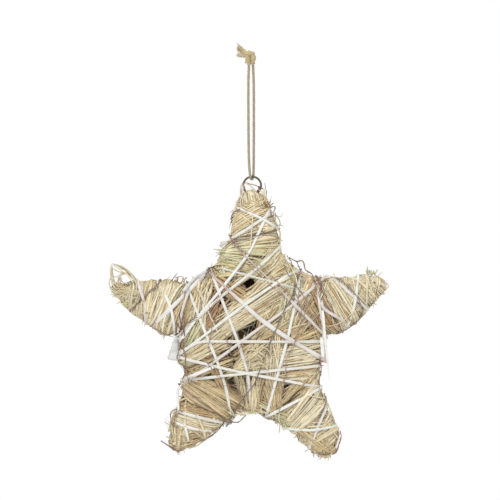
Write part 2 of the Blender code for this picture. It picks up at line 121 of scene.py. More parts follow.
# Hanks of straw on the front: across and up from the star's centre, angle, half along, half across,
# how far the outer strands lean, how far the hank stands out, and its colour
WOUND_HANKS = {
    "top": [
        ((3, 130), 98, 14, 13, 6, 0.2, PALE),
        ((-4, 108), 28, 60, 12, 4, 0.6, STRAW),
        ((13, 97), 13, 60, 14, 4, 0.4, PALE),
        ((-6, 81), 3, 55, 8, 3, 0.0, YELLOW),
        ((-21, 72), -2, 40, 11, 12, 0.3, GREENISH),
        ((-6, 58), -3, 45, 8, 3, 0.1, YELLOW),
        ((25, 61), 42, 45, 13, 4, 0.9, STRAW),
    ],
    "right": [
        ((41, 48), 78, 34, 9, 4, 0.5, GREENISH),
        ((58, 40), 65, 34, 9, 5, 0.5, STRAW),
        ((113, 38), -42, 62, 21, 4, 0.3, PALE),
        ((89, 28), -60, 62, 14, 3, 1.2, PALE),
        ((75, 17), -63, 52, 9, 4, 0.2, BROWNISH),
        ((68, 3), -60, 42, 8, 6, 0.0, TAN),
        ((120, 40), 22, 27, 9, 8, -1.3, PALE),
    ],
    "lower_right": [
        ((56, -84), 47, 56, 15, 10, 0.8, PALE),
        ((73, -106), 32, 50, 10, 5, 0.4, STRAW),
        ((71, -119), -42, 40, 9, 6, 0.7, TAN),
        ((74, -122), 35, 36, 10, 8, 0.2, STRAW),
        ((74, -114), -60, 26, 9, 8, -1.2, TAN),
    ],
    "lower_left": [
        ((-44, -64), -30, 56, 16, 5, 0.7, TAN),
        ((-47, -83), -10, 50, 6, 3, 0.3, BROWNISH),
        ((-50, -96), -18, 50, 10, 5, 0.5, PALE),
        ((-71, -110), 88, 34, 11, 12, 0.3, STRAW),
        ((-50, -108), 12, 22, 8, 6, 0.1, TAN),
    ],
    "left": [
        ((-127, 36), 175, 18, 7, 9, 0.5, STRAW),
        ((-122, 28), 82, 44, 9, 5, 0.4, STRAW),
        ((-104, 32), 83, 55, 9, 4, 0.5, STRAW),
        ((-86, 25), 70, 58, 12, 4, 0.8, PALE),
        ((-67, 13), 70, 55, 9, 4, 0.4, TAN),
    ],
}
FRONT_HANKS = [
    ((-49, 31), 85, 26, 11, 4, 0.5, PALE),
    ((-23, 41), -35, 26, 8, 4, 0.3, BROWNISH),
    ((-36, 10), 57, 20, 10, 5, 0.1, REDDISH),
    ((32, -2), 28, 20, 9, 6, 0.2, STRAW),
    ((12, -16), 30, 22, 8, 8, -0.4, TAN),
    ((37, 26), 80, 18, 8, 8, 0.3, PALE),
    ((-9, 10), 30, 34, 10, 3, 0.6, STRAW),
    ((9, 26), 32, 44, 14, 3, 1.0, PALE),
    ((22, 16), 60, 22, 12, 30, 0.2, TAN),
    ((51, -4), 40, 24, 12, 35, 0.3, TAN),
    ((-51, -23), 30, 26, 11, 4, 0.7, STRAW),
    ((-57, -8), 62, 16, 10, 8, 0.2, GREENISH),
    ((-44, -40), 22, 24, 7, 5, 0.3, TAN),
    ((2, -30), 35, 24, 13, 40, 0.4, STRAW),
    ((24, -30), 90, 20, 10, 5, 0.6, PALE),
    ((52, -26), 11, 26, 12, 5, 0.5, PALE),
    ((52, -47), 5, 26, 7, 4, 0.3, PALE),
    ((48, -63), 47, 28, 9, 8, 0.3, TAN),
    ((2, -72), 92, 26, 12, 5, 0.7, STRAW),
    ((-22, -62), -60, 24, 9, 8, 0.1, BROWNISH),
    ((24, -66), 100, 24, 9, 6, 0.1, TAN),
    ((28, -88), -30, 20, 8, 6, 0.3, GREENISH),
]
ARM_ANGLES = {"top": 90, "right": 18, "lower_right": -54, "lower_left": -126, "left": 162}
BACK_HANK_COUNT = 11
BACK_HANK_REACH = 38
BACK_EDGE_HANKS = [
    ((42, -66), 38, 36, 15, 8, 0.1, STRAW),
    ((36, -78), 25, 32, 12, 8, -0.2, TAN),
    ((62, -45), 84, 30, 11, 8, 0.0, TAN),
    ((-60, -45), 96, 30, 11, 8, 0.0, STRAW),
    ((-40, -68), -38, 34, 13, 8, -0.1, TAN),
    ((-58, 40), 60, 30, 12, 8, -0.1, STRAW),
    ((54, 42), 120, 30, 12, 8, -0.1, TAN),
]

# Deep gaps between the hanks: place, half along, half across, angle, depth in millimetres
GAPS = [
    ((2, -1), 9, 4, 25, 3.5),
    ((13, -7), 7, 3, 30, 3.0),
    ((38, -18), 5, 2, 15, 2.0),
    ((50, 17), 7, 3, -60, 3.5),
    ((44, 6), 5, 2, -60, 1.4),
    ((-30, -22), 5, 2.5, 30, 2.5),
    ((-17, -57), 11, 4.2, -58, 6.0),
    ((0, -24), 5, 1.8, 0, 4.0),
    ((5, -33), 4, 1.8, 30, 3.4),
    ((36, -17), 7, 1.8, 5, 4.6),
    ((-3, -36), 4, 1.6, 60, 3.2),
    ((-36, -52), 5, 2, -30, 3.0),
    ((4, 92.5), 19, 1.7, 11, 3.6),
    ((12, 121), 12, 1.6, 0, 2.0),
    ((-13, 81), 9, 1.6, -58, 2.6),
    ((20, 21), 5, 2.5, 45, 2.2),
    ((-42, 32), 6, 2.5, -50, 3.5),
    ((48, -64), 12, 1.8, 38, 4.8),
    ((42, -72), 13, 2.0, 33, 5.2),
    ((-54, -110), 5, 1.5, 10, 2.4),
    ((54, -109), 7, 2.0, -40, 3.2),
    ((-70, 28), 7, 1.7, 75, 3.2),
    ((-70, -6), 8, 2.2, 60, 3.4),
    ((-118, 44), 6, 2.0, 5, 3.0),
    ((84, 12), 12, 1.8, -60, 3.0),
    ((110, 24), 9, 1.9, -58, 3.6),
    ((-93, 22), 10, 1.5, 80, 2.6),
    ((-45, -80), 16, 1.5, -20, 3.0),
    ((-30, 62), 10, 1.6, 5, 2.5),
    ((18, 52), 8, 1.6, 40, 2.5),
]
ROUND_HOLE = ((0.7, 45.5), 4.6)

# Places on the star's edge where the straw is drawn in: place, reach round it, depth in millimetres
DRAWN_IN = [
    ((-28, 86), 13, 4.4),
    ((-47, 57), 11, 4.0),
    ((74, -36), 10, 2.8),
    ((79, -128), 9, 2.2),
    ((37, -92), 8, 2.0),
    ((-132, 28), 9, 1.6),
    ((-68, -44), 9, 1.8),
]

# The white strips, lowest first, by places across and up from the star's centre
STRIPS = [
    [(-61, 40), (-52, 17), (-31, -34), (-23, -58), (-19, -82)],
    [(-29, 34), (-12, -10), (-1, -44), (0, -56)],
    [(51, 55), (46, 25), (38, -12), (29, -44), (19, -81)],
    [(69, 42), (69, 31), (74, -2), (75, -26)],
    [(-40, 68), (-41, 56), (-59, 38), (-97, 0)],
    [(-88, 41), (-78, 23), (-75, 8), (-74, -15)],
    [(19, 115), (0, 74), (-28, 38), (-50, 12)],
    [(31, 81), (9, 60), (-27, 32), (-49, 12)],
    [(52, 58), (39, 53), (-6, 22), (-48, -10)],
    [(67, 43), (46, 25), (6, -3), (-38, -36)],
    [(-67, -23), (-49, -13), (73, -13.5)],
    [(-69, -29), (-38, -37), (-6, -44), (51, -55), (71, -59)],
    [(-65, -52), (-6, -45), (64, -38)],
    [(-38, 54), (11, 9), (37, -9), (64, -25)],
    [(0, 68), (44, 25), (73, -5)],
    [(-9, 118), (15, 108), (30, 98)],
    [(17, 111), (-2, 98), (-17, 89)],
    [(75, 53), (87, 47), (111, 25)],
    [(109, 53), (107, 35), (104, 18), (98, 2)],
    [(-71, -83), (-49, -89), (-27, -94)],
    [(-75, -93), (-63, -99), (-36, -103)],
    [(67, -62), (31, -81)],
    [(79, -75), (69, -97), (60, -121)],
    [(37, -100), (61, -102), (86, -98)],
    [(-109, 48), (-104, 29), (-103, 7)],
]
BROAD_STRIPS = (5, 14)

# Strips that are thinner and browner on one side of a place: strip, place across, share of the width
THINNER_LEFT_OF = {14: (-16, 0.5), 15: (38, 0.5)}

# Strips that are lifted clear of a full hank: strip, place, reach round it, lift in millimetres
LIFTED = {2: ((-16, 2), 14, 0.9), 9: ((0, 25), 45, 1.3), 10: ((32, 14), 18, 0.8)}

# The twigs that go round the star over the strips, lowest first
TWIG_WRAPS = [
    [(-63, 38), (-64, 20), (-65, 0), (-66, -20), (-60, -50)],
    [(5, 68), (48, 27), (76, -1)],
    [(45, -12), (38, -29), (35, -51), (30, -82)],
    [(22, -13), (13, -34), (5, -54), (-14, -84)],
    [(-49, -72), (-22, -92)],
    [(-86, 51), (-96, 38), (-109, 27), (-118, 17)],
    [(67, 52), (71, 42), (81, 22), (87, 8)],
    [(-13, 87), (-1, 89), (7, 91), (23, 96)],
]

# Each twig's thickness, as a share of the fullest, its colour, and whether a thin one runs beside it
TWIG_LOOKS = [
    (0.8, BARK, True),
    (0.62, colour(178, 152, 142), False),
    (0.6, colour(176, 150, 136), False),
    (0.9, colour(128, 114, 104), False),
    (0.9, BARK, True),
    (0.8, colour(152, 126, 118), True),
    (0.8, colour(150, 114, 100), True),
    (0.75, BARK, False),
]

# Twigs that are thin and pale below a height: twig and height
FAINT_BELOW = {1: -52}

# The twigs' loose ends, which curl on the front
TWIG_CURLS = [
    [(87, 50), (92, 48), (97, 43), (103, 37), (108, 30), (111, 22), (113, 16), (112, 11),
     (108, 7), (101, 1), (94, -3), (87, -6)],
    [(21, 120), (25, 121), (26, 119), (24, 115), (21, 115), (24, 111)],
    [(-66, -83), (-73, -81), (-78, -85), (-78, -90), (-77, -96), (-71, -99)],
    [(-23, -91), (-18, -93), (-11, -94), (-6, -90), (-3, -87)],
    [(62, -124), (69, -126), (82, -126), (87, -124), (90, -116), (92, -109), (91, -103)],
    [(-88, -113), (-80, -118), (-73, -122), (-66, -122)],
    [(40, 70), (48, 66), (50, 67), (54, 66), (56, 58), (59, 56), (63, 53), (66, 45)],
]

# Loose strips: line, widths along it in millimetres, and colour
LOOSE_STRIPS = [
    ([(-64, -50), (-51, -45), (-34, -38)], [3.2, 3.6, 2.6], WHITE),
    ([(73, 18), (76, -15), (80, -53)], [3.0, 2.4, 0.5], WHITE),
    ([(72, 28), (75, 19), (96, 6)], [3.0, 3.2, 2.4], PINKISH),
    ([(-64, -95), (-60, -113)], [2.6, 2.2], WHITE),
    ([(-67, -56), (-71, -64), (-70, -82)], [2.2, 3.0, 2.4], WHITE),
    ([(-69, -14), (-59, 0), (-53, 8)], [3.0, 3.2, 2.6], WHITE),
    ([(-60, 37), (-66, 18), (-71, -5)], [2.2, 2.6, 2.6], PINKISH),
    ([(-111.5, 49), (-108, 38), (-104.5, 27)], [2.6, 3.0, 2.6], PINKISH),
    ([(-73.0, -11), (-73.6, -20), (-75.2, -31.5)], [6.6, 7.2, 8.8, 10.4, 16.5], colour(212, 211, 207)),
    ([(72, -9), (73.5, -29)], [4.0, 3.4], WHITE),
    ([(-41, 58), (-55, 48), (-66, 36)], [2.4, 3.4, 3.0], colour(214, 213, 211)),
    ([(-12.5, 120), (-8, 118.2), (-2, 115)], [2.4, 2.8, 2.6], PINKISH),
    ([(4, 118), (3, 100), (1, 78)], [0.8, 0.9, 0.8], PALE),
]

# Strips that run under the windings
TUCKED_STRIPS = [
    ([(-29, 60), (-11, 55), (19, 47), (48, 39), (62, 33)], [2.0, 2.4, 2.4, 2.4, 1.8], colour(208, 206, 194)),
    ([(-52, 42), (-42, 20), (-30, -6)], [1.6, 2.0, 1.6], colour(204, 192, 178)),
]

# Loose twigs and tendrils: line, thickness in millimetres, and colour
LOOSE_TWIGS = [
    ([(-6.5, 144.5), (-4.6, 140), (-3.0, 134)], 1.7, BARK),
    ([(-4.2, 145.1), (0.9, 143.9), (5.3, 142.6), (9.1, 140.7), (10.4, 137)], 1.2, GREY_BARK),
    ([(8.6, 136.5), (10.1, 138.2), (12.7, 139.4), (15.2, 137.2)], 1.6, DARK_BARK),
    ([(9.5, 141), (10.6, 138.4), (10, 136)], 1.7, DARK_BARK),
    ([(15.8, 144.5), (16.8, 137.5), (17.6, 134.3), (16.8, 129.2), (13.5, 125.3)], 0.8, BARK),
    ([(19, 120), (21.0, 126), (22.6, 132)], 0.7, GREY_BARK),
    ([(20.5, 118), (19.7, 123.8), (19.2, 128.5)], 0.7, BARK),
    ([(-9, 118), (-16, 115), (-18, 106), (-20, 98)], 1.1, BARK),
    ([(-20, 94), (-16, 85), (-9, 78), (-5, 72)], 1.3, BARK),
    ([(38, 72), (42, 66), (44, 58)], 1.0, BARK),
    ([(47, 67), (51, 57), (50, 48)], 1.0, BARK),
    ([(-99, 2), (-90, -3), (-82, -7), (-72, -10)], 1.2, BARK),
    ([(-61, -44), (-65, -48), (-66, -53), (-62, -56)], 0.9, BARK),
    ([(-24, -92), (-30, -101), (-43, -111), (-55, -115)], 1.3, DARK_BARK),
    ([(10, -85), (15, -88), (19, -90), (25, -91.5), (29, -97)], 1.3, BARK),
    ([(75, -65), (77, -71), (75, -78), (71, -86), (66, -97)], 1.2, BARK),
    ([(-51, 11), (-60, 6), (-70, -2)], 1.0, BARK),
    ([(-42, -33), (-34, -43), (-23, -52)], 1.0, BARK),
    ([(-24, -5), (-21, -15), (-18, -26)], 1.0, colour(176, 148, 128)),
    ([(-7, -16), (-14, -28), (-21, -39)], 1.0, BARK),
    ([(-80, 44), (-76, 49), (-71.0, 55)], 1.2, GREY_BARK),
    ([(-74, 50), (-68, 51.5), (-64, 50.2)], 0.8, GREY_BARK),
    ([(-44, 53), (-38.8, 59), (-37.0, 64)], 1.0, BARK),
    ([(-42, 57), (-38.6, 60), (-34, 59), (-29, 55)], 1.5, DARK_BARK),
    ([(-45, 50), (-40, 56), (-33, 61)], 1.0, DARK_BARK),
    ([(66, 47), (72, 46), (78, 49), (84, 50), (90, 48)], 1.2, BARK),
    ([(67, 50), (71, 41), (69, 34), (72, 26)], 1.4, colour(150, 108, 92)),
    ([(-66, 22), (-69, 10), (-64, -4), (-68, -18), (-71, -30), (-66, -40), (-60, -50)], 1.2, DARK_BARK),
    ([(-73, 6), (-68, -2), (-66, -12), (-70, -22)], 1.0, BARK),
    ([(34, 64), (40, 52), (50, 38), (62, 20), (76, 2)], 0.9, colour(160, 128, 118)),
    ([(-3, 66), (-14, 50), (-30, 30), (-46, 12), (-62, 4)], 0.9, colour(168, 138, 126)),
    ([(-2, 64), (22, 42), (44, 22), (66, -4)], 0.9, colour(176, 148, 138)),
    ([(-40, 22), (-36, 4), (-40, -18), (-34, -40), (-28, -60)], 0.9, colour(168, 138, 122)),
    ([(44, 40), (52, 18), (48, -6), (40, -30)], 0.9, colour(160, 132, 122)),
    ([(-60, -50), (-40, -58), (-14, -56), (10, -57), (40, -62)], 0.8, colour(172, 140, 120)),
    ([(70, -28), (72, -42), (70, -56), (72, -68)], 1.0, colour(160, 112, 96)),
    ([(-12, -60), (-4, -74), (-12, -84), (-24, -88)], 1.1, BARK),
    ([(-70, -85), (-76, -90), (-75, -97), (-68, -100)], 0.8, BARK),
    ([(-80, -112), (-74, -120), (-70, -126), (-66, -121)], 0.7, GREY_BARK),
    ([(28, 112), (32, 111), (34, 115)], 0.5, GREY_BARK),
    ([(27, 103), (31, 102.5), (33.5, 102)], 0.9, GREY_BARK),
]

# Loose straws: line, width in millimetres, and colour
LOOSE_STRAWS = [
    ([(-115, 28), (-111.5, 40), (-114.6, 49), (-121, 57), (-128, 61.5), (-136.6, 64.2)], 2.2, STRAW),
    ([(-113, 24), (-109.5, 36), (-112, 46), (-118.5, 54.5), (-126.5, 60), (-135.6, 63.4)], 2.0, PALE),
    ([(-111, 24), (-108, 34), (-110.5, 43), (-116, 51), (-124, 57.5)], 1.6, TAN),
    ([(-118, 30), (-114.5, 40), (-117, 47.5), (-123, 54.5), (-131, 59.5)], 1.6, PALE),
    ([(-136.6, 64.2), (-137.8, 57), (-137.4, 50), (-135.6, 43), (-131, 37)], 1.8, STRAW),
    ([(-136.4, 62), (-136.2, 55), (-135.4, 50), (-133.4, 44), (-128, 38)], 1.4, TAN),
    ([(-136.5, 64.5), (-133, 60.5), (-127, 58.5), (-120, 57)], 1.0, PALE),
    ([(-137, 60), (-131, 56.0), (-124, 55.2), (-117, 53)], 1.0, PALE),
    ([(-136, 52), (-132, 50.5), (-128, 54), (-122, 55)], 0.8, STRAW),
    ([(-132, 48), (-127, 53), (-121, 53.5), (-117, 49)], 1.0, TAN),
    ([(-128, 52), (-131, 46), (-129, 38)], 1.4, STRAW),
    ([(-126, 50), (-129, 44), (-124, 36)], 1.3, TAN),
    ([(-125, 45), (-121, 43.5), (-114, 44)], 1.6, STRAW),
    ([(-139, 44), (-137, 38), (-131, 34)], 1.0, PALE),
    ([(-138, 51), (-139.5, 44), (-138, 38)], 1.0, STRAW),
    ([(-6.2, 145), (-8.2, 141), (-7.6, 135), (-9, 130), (-11.2, 126.5), (-12.6, 122), (-10, 116)],
     1.5, PINKISH),
    ([(-5.8, 143), (-6.0, 138), (-7.2, 131), (-8.4, 125), (-7, 117)], 1.4, PALE),
    ([(-7.2, 142), (-8.8, 136), (-8, 129), (-12, 124), (-13, 119), (-11, 113)], 1.1, PALE),
    ([(-4, 145), (1.8, 141.3), (7.4, 135.5)], 1.1, PALE),
    ([(14, 140), (15.6, 134), (15.4, 128), (12, 122)], 1.5, STRAW),
    ([(9, 138), (13.5, 135), (16, 130), (16, 124)], 1.6, PALE),
    ([(16, 126), (19.6, 121), (21, 116)], 1.2, TAN),
    ([(22, 117), (25.5, 112), (26.5, 106)], 1.2, STRAW),
    ([(26, 113), (30, 108), (31, 103), (29, 98)], 1.0, TAN),
    ([(26, 100), (30.5, 96), (31, 90), (30, 84)], 1.4, STRAW),
    ([(130, 50), (136, 45.5), (139.5, 41.5), (137, 39), (133, 40)], 0.9, TAN),
    ([(124, 53), (130, 50.5), (135, 46.5), (137.5, 42)], 1.2, STRAW),
    ([(-14, -83), (-4, -85), (8, -84.5), (16, -83.5)], 1.4, PALE),
    ([(-12, -81), (-2, -83.5), (10, -83.5), (20, -84)], 1.6, STRAW),
    ([(-8, -78), (-7, -84), (-4, -86.5)], 1.6, PALE),
    ([(-22, -83), (-16, -86), (-10, -85), (-5, -87)], 1.8, GREENISH),
    ([(-18, -80), (-15, -86), (-12, -88)], 1.8, PALE),
    ([(4, -78), (5, -84), (7, -86)], 1.6, STRAW),
    ([(12, -78), (12, -84), (10, -86)], 1.5, PALE),
    ([(30, -84), (30, -92), (33, -98)], 1.8, GREENISH),
    ([(36, -88), (35, -96), (37, -100)], 1.4, GREENISH),
    ([(38, 66), (42, 60), (46, 52), (48, 42)], 1.6, STRAW),
    ([(-4, -24), (2, -21), (9, -23), (16, -28)], 2.0, PALE),
    ([(-2, -30), (4, -26), (11, -28), (14, -34)], 1.6, STRAW),
    ([(-5, -34), (-1, -29), (1, -36), (-2, -42)], 1.5, PALE),
    ([(2, -40), (8, -35), (15, -36), (19, -42)], 1.7, STRAW),
    ([(10, -18), (17, -20), (22, -27), (22, -36)], 1.6, PALE),
    ([(30, 66), (37, 62), (42, 55)], 1.5, STRAW),
    ([(-62, -96), (-70, -104), (-77, -112), (-74, -118)], 1.2, TAN),
    ([(-32, -104), (-44, -112), (-55, -119), (-66, -120)], 1.4, PALE),
    ([(-28, -100), (-40, -109), (-50, -116)], 1.4, STRAW),
    ([(-81, -88), (-83.5, -95), (-80, -102)], 0.4, PALE),
    ([(84, -104), (89, -111), (86, -119), (80, -124)], 1.0, PALE),
    ([(62, -121), (70, -127), (80, -127), (85, -121)], 1.2, STRAW),
    ([(71, -62), (76, -70), (81, -82), (86, -95)], 1.4, STRAW),
    ([(72, 4), (80, 2), (92, 6), (104, 16), (112, 22)], 1.2, STRAW),
]

# Tufts of loose ends: place, angle, spread, count, size across and up, length in millimetres, colour
TUFTS = [
    ((-124, 35), 182, 12, 36, (4, 7), 10, STRAW),
    ((-124, 41), 158, 18, 14, (4, 4), 7, TAN),
    ((-119, 29), 215, 14, 20, (4, 5), 8, GREENISH),
    ((-23, 72), 178, 10, 34, (4, 9), 7, GREENISH),
    ((-23, 66), 200, 12, 14, (4, 5), 6, PALE),
    ((122, 52), 88, 12, 12, (4, 1), 8, GREENISH),
    ((129, 40), -28, 6, 12, (4, 9), 5, PALE),
    ((9, 122), 100, 12, 26, (6, 3), 8, YELLOW),
    ((15, 120), 62, 22, 18, (6, 2), 5, REDDISH),
    ((3, 123), 96, 12, 16, (8, 3), 6, TAN),
    ((18, 120), 55, 16, 12, (3, 5), 5, TAN),
    ((24, 106), 40, 18, 12, (3, 8), 4, TAN),
    ((-71, -118), -85, 14, 26, (7, 3), 5, TAN),
    ((72, -125), -80, 16, 24, (9, 2), 4, STRAW),
    ((-70, 44), 100, 26, 12, (8, 3), 5, BROWNISH),
    ((-36, 52), 95, 30, 12, (6, 3), 6, BROWNISH),
    ((53, 48), 95, 26, 12, (6, 4), 5, STRAW),
    ((70, -40), 0, 26, 12, (2, 12), 4, REDDISH),
    ((35, -94), -60, 25, 14, (4, 3), 7, GREENISH),
    ((-12, -84), -90, 35, 14, (12, 2), 5, PALE),
    ((22, 18), 60, 60, 24, (10, 6), 12, STRAW),
    ((4, -30), 30, 60, 34, (10, 7), 13, PALE),
    ((50, -6), 50, 60, 20, (8, 6), 11, TAN),
    ((-46, -64), 45, 30, 14, (10, 8), 12, STRAW),
    ((73, -118), 10, 60, 18, (8, 6), 12, STRAW),
    ((-72, -108), 60, 60, 18, (7, 7), 10, TAN),
]
SHORT_ENDS = 760

# The knot's turns: places in it, the turn's diameter, how long its twist is, colour, and whether it varies
KNOT_TURNS = [
    ([(-0.22, -0.1, -1.1), (-0.42, -0.45, -0.6), (-0.52, -0.55, 0.1), (-0.45, -0.3, 0.75), (-0.1, 0.2, 0.85)],
     0.0046, 0.010, KNOT_TWINE, False),
    ([(0.52, 0.0, -1.05), (0.56, -0.45, -0.6), (0.52, -0.6, 0.1), (0.45, -0.3, 0.7), (0.1, 0.3, 0.8)],
     0.0044, 0.010, KNOT_TWINE, True),
    # This turn lies in the knot's groove; its darker colour is painted shade in the crease
    ([(0.1, 0.1, -0.95), (0.08, -0.35, -0.4), (0.05, -0.4, 0.4)], 0.0036, 0.010, colour(150, 130, 92), True),
    ([(0.75, 0.25, -0.1), (0.72, -0.3, 0.35), (0.1, -0.75, 0.62), (-0.6, -0.55, 0.62), (-1.15, -0.2, 0.95),
      (-1.8, 0, 1.4), (-2.35, 0, 1.85)], 0.0042, 0.011, KNOT_TWINE, False),
    ([(-0.5, 0.2, 0.55), (-1.2, 0.1, 0.72), (-1.8, 0.1, 1.1), (-2.5, 0.1, 1.5)],
     0.0036, 0.011, KNOT_TWINE, False),
    ([(-0.7, 0.4, -0.8), (-0.5, 0.8, 0.0), (0.3, 0.85, 0.3), (0.8, 0.4, -0.4)],
     0.0044, 0.010, KNOT_TWINE, False),
    ([(0.2, -0.3, 0.1), (-0.7, -0.1, 0.30), (-1.5, -0.1, 0.42), (-2.2, 0.0, 0.40), (-2.75, 0.0, 0.62)],
     0.0042, 0.010, colour(190, 176, 148), True),
]

# Directions, in degrees from straight out of the front, that a taut winding turns through
TAUT_TURNS = (0, 5, 11, 18, 27, 38, 52, 70)
REACH_BEYOND = 120.0
JOINED_SECTION_GAP = 0.0025
SHORTEST_EDGE = 0.0002


# Small helpers

def on_star(across, up):
    """A place on the star's middle plane, from its grid."""
    return STAR_CENTRE + Vector((across * UNIT, 0.0, up * UNIT))


def unit(vectors):
    """Rows of vectors, each made one long."""
    return vectors / np.maximum(np.linalg.norm(vectors, axis=1, keepdims=True), 1e-12)


def new_object(name, mesh, surface, slot, *nodes):
    """A piece of the ornament that rides on its body and stands for some solids."""
    mesh.name = name
    piece = bpy.data.objects.new(name, mesh)
    bpy.context.scene.collection.objects.link(piece)
    mesh.materials.append(surface)
    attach(piece, "root")
    if nodes:
        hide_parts(*nodes)
    return piece


def triangles_of(node):
    """A solid's triangles, as an array of corners."""
    mesh = node.data
    mesh.calc_loop_triangles()
    return np.array([[mesh.vertices[i].co for i in face.vertices] for face in mesh.loop_triangles])


def tree_of(triangles):
    """A search tree of these triangles."""
    corners = [Vector(corner) for corner in triangles.reshape(-1, 3)]
    faces = [(3 * face, 3 * face + 1, 3 * face + 2) for face in range(len(triangles))]
    return BVHTree.FromPolygons(corners, faces)


def curve_through(points, steps_over):
    """Close points along a smooth curve through these points."""
    ends = [points[0] * 2 - points[1], *points, points[-1] * 2 - points[-2]]
    dense = []
    for a, b, c, d in zip(ends, ends[1:], ends[2:], ends[3:]):
        steps = steps_over((c - b).length)
        for step in range(steps):
            t = step / steps
            dense.append(0.5 * (b * 2 + (c - a) * t + (a * 2 - b * 5 + c * 4 - d) * t ** 2
                                + (b * 3 - a - c * 3 + d) * t ** 3))
    return dense + [points[-1]]


def smooth_line(points, spacing):
    """Points at even spacing along a smooth curve through these points."""
    dense = curve_through([Vector(point) for point in points],
                          lambda length: max(3, int(length / spacing * 3)))
    runs = [0.0]
    for here, there in zip(dense, dense[1:]):
        runs.append(runs[-1] + (there - here).length)
    wanted = np.linspace(0, runs[-1], max(2, round(runs[-1] / spacing)) + 1)
    table = np.array(dense)
    return np.stack([np.interp(wanted, runs, table[:, axis]) for axis in range(3)], axis=1)


def runs_along(points):
    """How far each point lies along the line."""
    return np.concatenate([[0], np.cumsum(np.linalg.norm(np.diff(points, axis=0), axis=1))])


def ways_along(points, closed=True):
    """The direction of a line at each of its points."""
    after, before = np.roll(points, -1, axis=0), np.roll(points, 1, axis=0)
    if not closed:
        after[-1], before[0] = points[-1], points[0]
    return unit(after - before)


def turned(side, up, turn):
    """Two directions at right angles, turned in their own plane."""
    return side * np.cos(turn) + up * np.sin(turn), up * np.cos(turn) - side * np.sin(turn)


# Materials

class Surface:
    """A Principled material and short ways to add the nodes that feed it."""

    def __init__(self, name, roughness):
        self.material = bpy.data.materials.new(name)
        self.material.use_nodes = True
        self.tree = self.material.node_tree
        self.shader = self.tree.nodes["Principled BSDF"]
        self.shader.inputs["Roughness"].default_value = roughness

    def node(self, kind, **settings):
        made = self.tree.nodes.new(kind)
        for name, value in settings.items():
            if name in made.inputs:
                made.inputs[name].default_value = value
            else:
                setattr(made, name, value)
        return made

    def link(self, source, target):
        self.tree.links.new(source, target)

    def noise(self, vector, scale, detail=3.0, rough=0.6):
        made = self.node("ShaderNodeTexNoise", Scale=scale, Detail=detail, Roughness=rough)
        self.link(vector, made.inputs["Vector"])
        return made.outputs["Fac"]

    def fibres(self, along, across, scale, detail, rough):
        """Noise that is stretched along a strand."""
        uv = self.node("ShaderNodeUVMap", uv_map="OFBake")
        scaled = self.node("ShaderNodeMapping")
        scaled.inputs["Scale"].default_value = (along, across, 1.0)
        self.link(uv.outputs["UV"], scaled.inputs["Vector"])
        return self.noise(scaled.outputs["Vector"], scale, detail, rough)

    def spots(self, scale, detail=3.0, rough=0.6):
        """Noise in the object's own space."""
        place = self.node("ShaderNodeTexCoord")
        return self.noise(place.outputs["Object"], scale, detail, rough)

    def ramp(self, value, *stops):
        """A ramp of (position, colour) stops."""
        made = self.node("ShaderNodeValToRGB")
        elements = made.color_ramp.elements
        while len(elements) < len(stops):
            elements.new(0.5)
        for element, (position, shade) in zip(elements, stops):
            element.position = position
            element.color = (*shade, 1.0)
        self.link(value, made.inputs["Fac"])
        return made.outputs["Color"]

    def dyed(self, *shades):
        """The base colour: the colour kept on the mesh, times these shades."""
        shade = self.node("ShaderNodeAttribute", attribute_name="tone").outputs["Color"]
        for more in shades:
            mixed = self.node("ShaderNodeMix", data_type="RGBA", blend_type="MULTIPLY")
            mixed.inputs[0].default_value = 1.0
            self.link(shade, mixed.inputs[6])
            self.link(more, mixed.inputs[7])
            shade = mixed.outputs[2]
        self.base(shade)

    def bump(self, height, strength, distance):
        made = self.node("ShaderNodeBump", Strength=strength, Distance=distance)
        self.link(height, made.inputs["Height"])
        self.link(made.outputs["Normal"], self.shader.inputs["Normal"])

    def base(self, shade):
        self.link(shade, self.shader.inputs["Base Color"])


def grey(value):
    return (value, value, value)


def straw_surface():
    surface = Surface("dried_straw", 0.62)
    fibre = surface.fibres(60.0, 900.0, 4.0, 4.0, 0.7)
    streak = surface.ramp(fibre, (0.25, grey(0.82)), (0.6, grey(1.0)), (0.85, grey(1.08)))
    stain = surface.spots(160.0, 3.0)
    patch = surface.ramp(stain, (0.3, (0.84, 0.81, 0.72)), (0.55, grey(1.0)))
    surface.dyed(streak, patch)
    surface.bump(fibre, 0.3, 0.0002)
    surface.shader.inputs["Specular IOR Level"].default_value = 0.3
    return surface.material


def painted_shade_straw_surface():
    surface = Surface("deep_straw_painted_shade", 0.9)
    spot = surface.spots(420.0, 4.0, 0.7)
    # Dark brown colour for the straw under the strands: painted shade between them, not the straw's own
    # colour
    surface.base(surface.ramp(spot, (0.3, colour(46, 35, 20)), (0.7, colour(92, 73, 46))))
    surface.bump(spot, 0.9, 0.002)
    return surface.material


def strip_surface():
    surface = Surface("bleached_shaving", 0.5)
    fibre = surface.fibres(14.0, 26.0, 3.0, 5.0, 0.65)
    grain = surface.ramp(fibre, (0.28, (0.80, 0.79, 0.77)), (0.5, grey(0.97)), (0.75, grey(1.03)))
    stain = surface.spots(55.0, 3.0)
    patch = surface.ramp(stain, (0.32, (0.89, 0.86, 0.83)), (0.5, grey(1.0)))
    surface.dyed(grain, patch)
    surface.bump(fibre, 0.35, 0.0003)
    return surface.material


def bark_surface():
    surface = Surface("dry_vine_bark", 0.75)
    fibre = surface.fibres(90.0, 5.0, 3.0, 5.0, 0.7)
    grain = surface.ramp(fibre, (0.3, grey(0.62)), (0.55, grey(1.0)), (0.8, grey(1.2)))
    stain = surface.spots(90.0, 3.0)
    patch = surface.ramp(stain, (0.35, (0.72, 0.68, 0.66)), (0.6, (1.05, 1.02, 1.0)))
    surface.dyed(grain, patch)
    surface.bump(fibre, 0.7, 0.0004)
    return surface.material


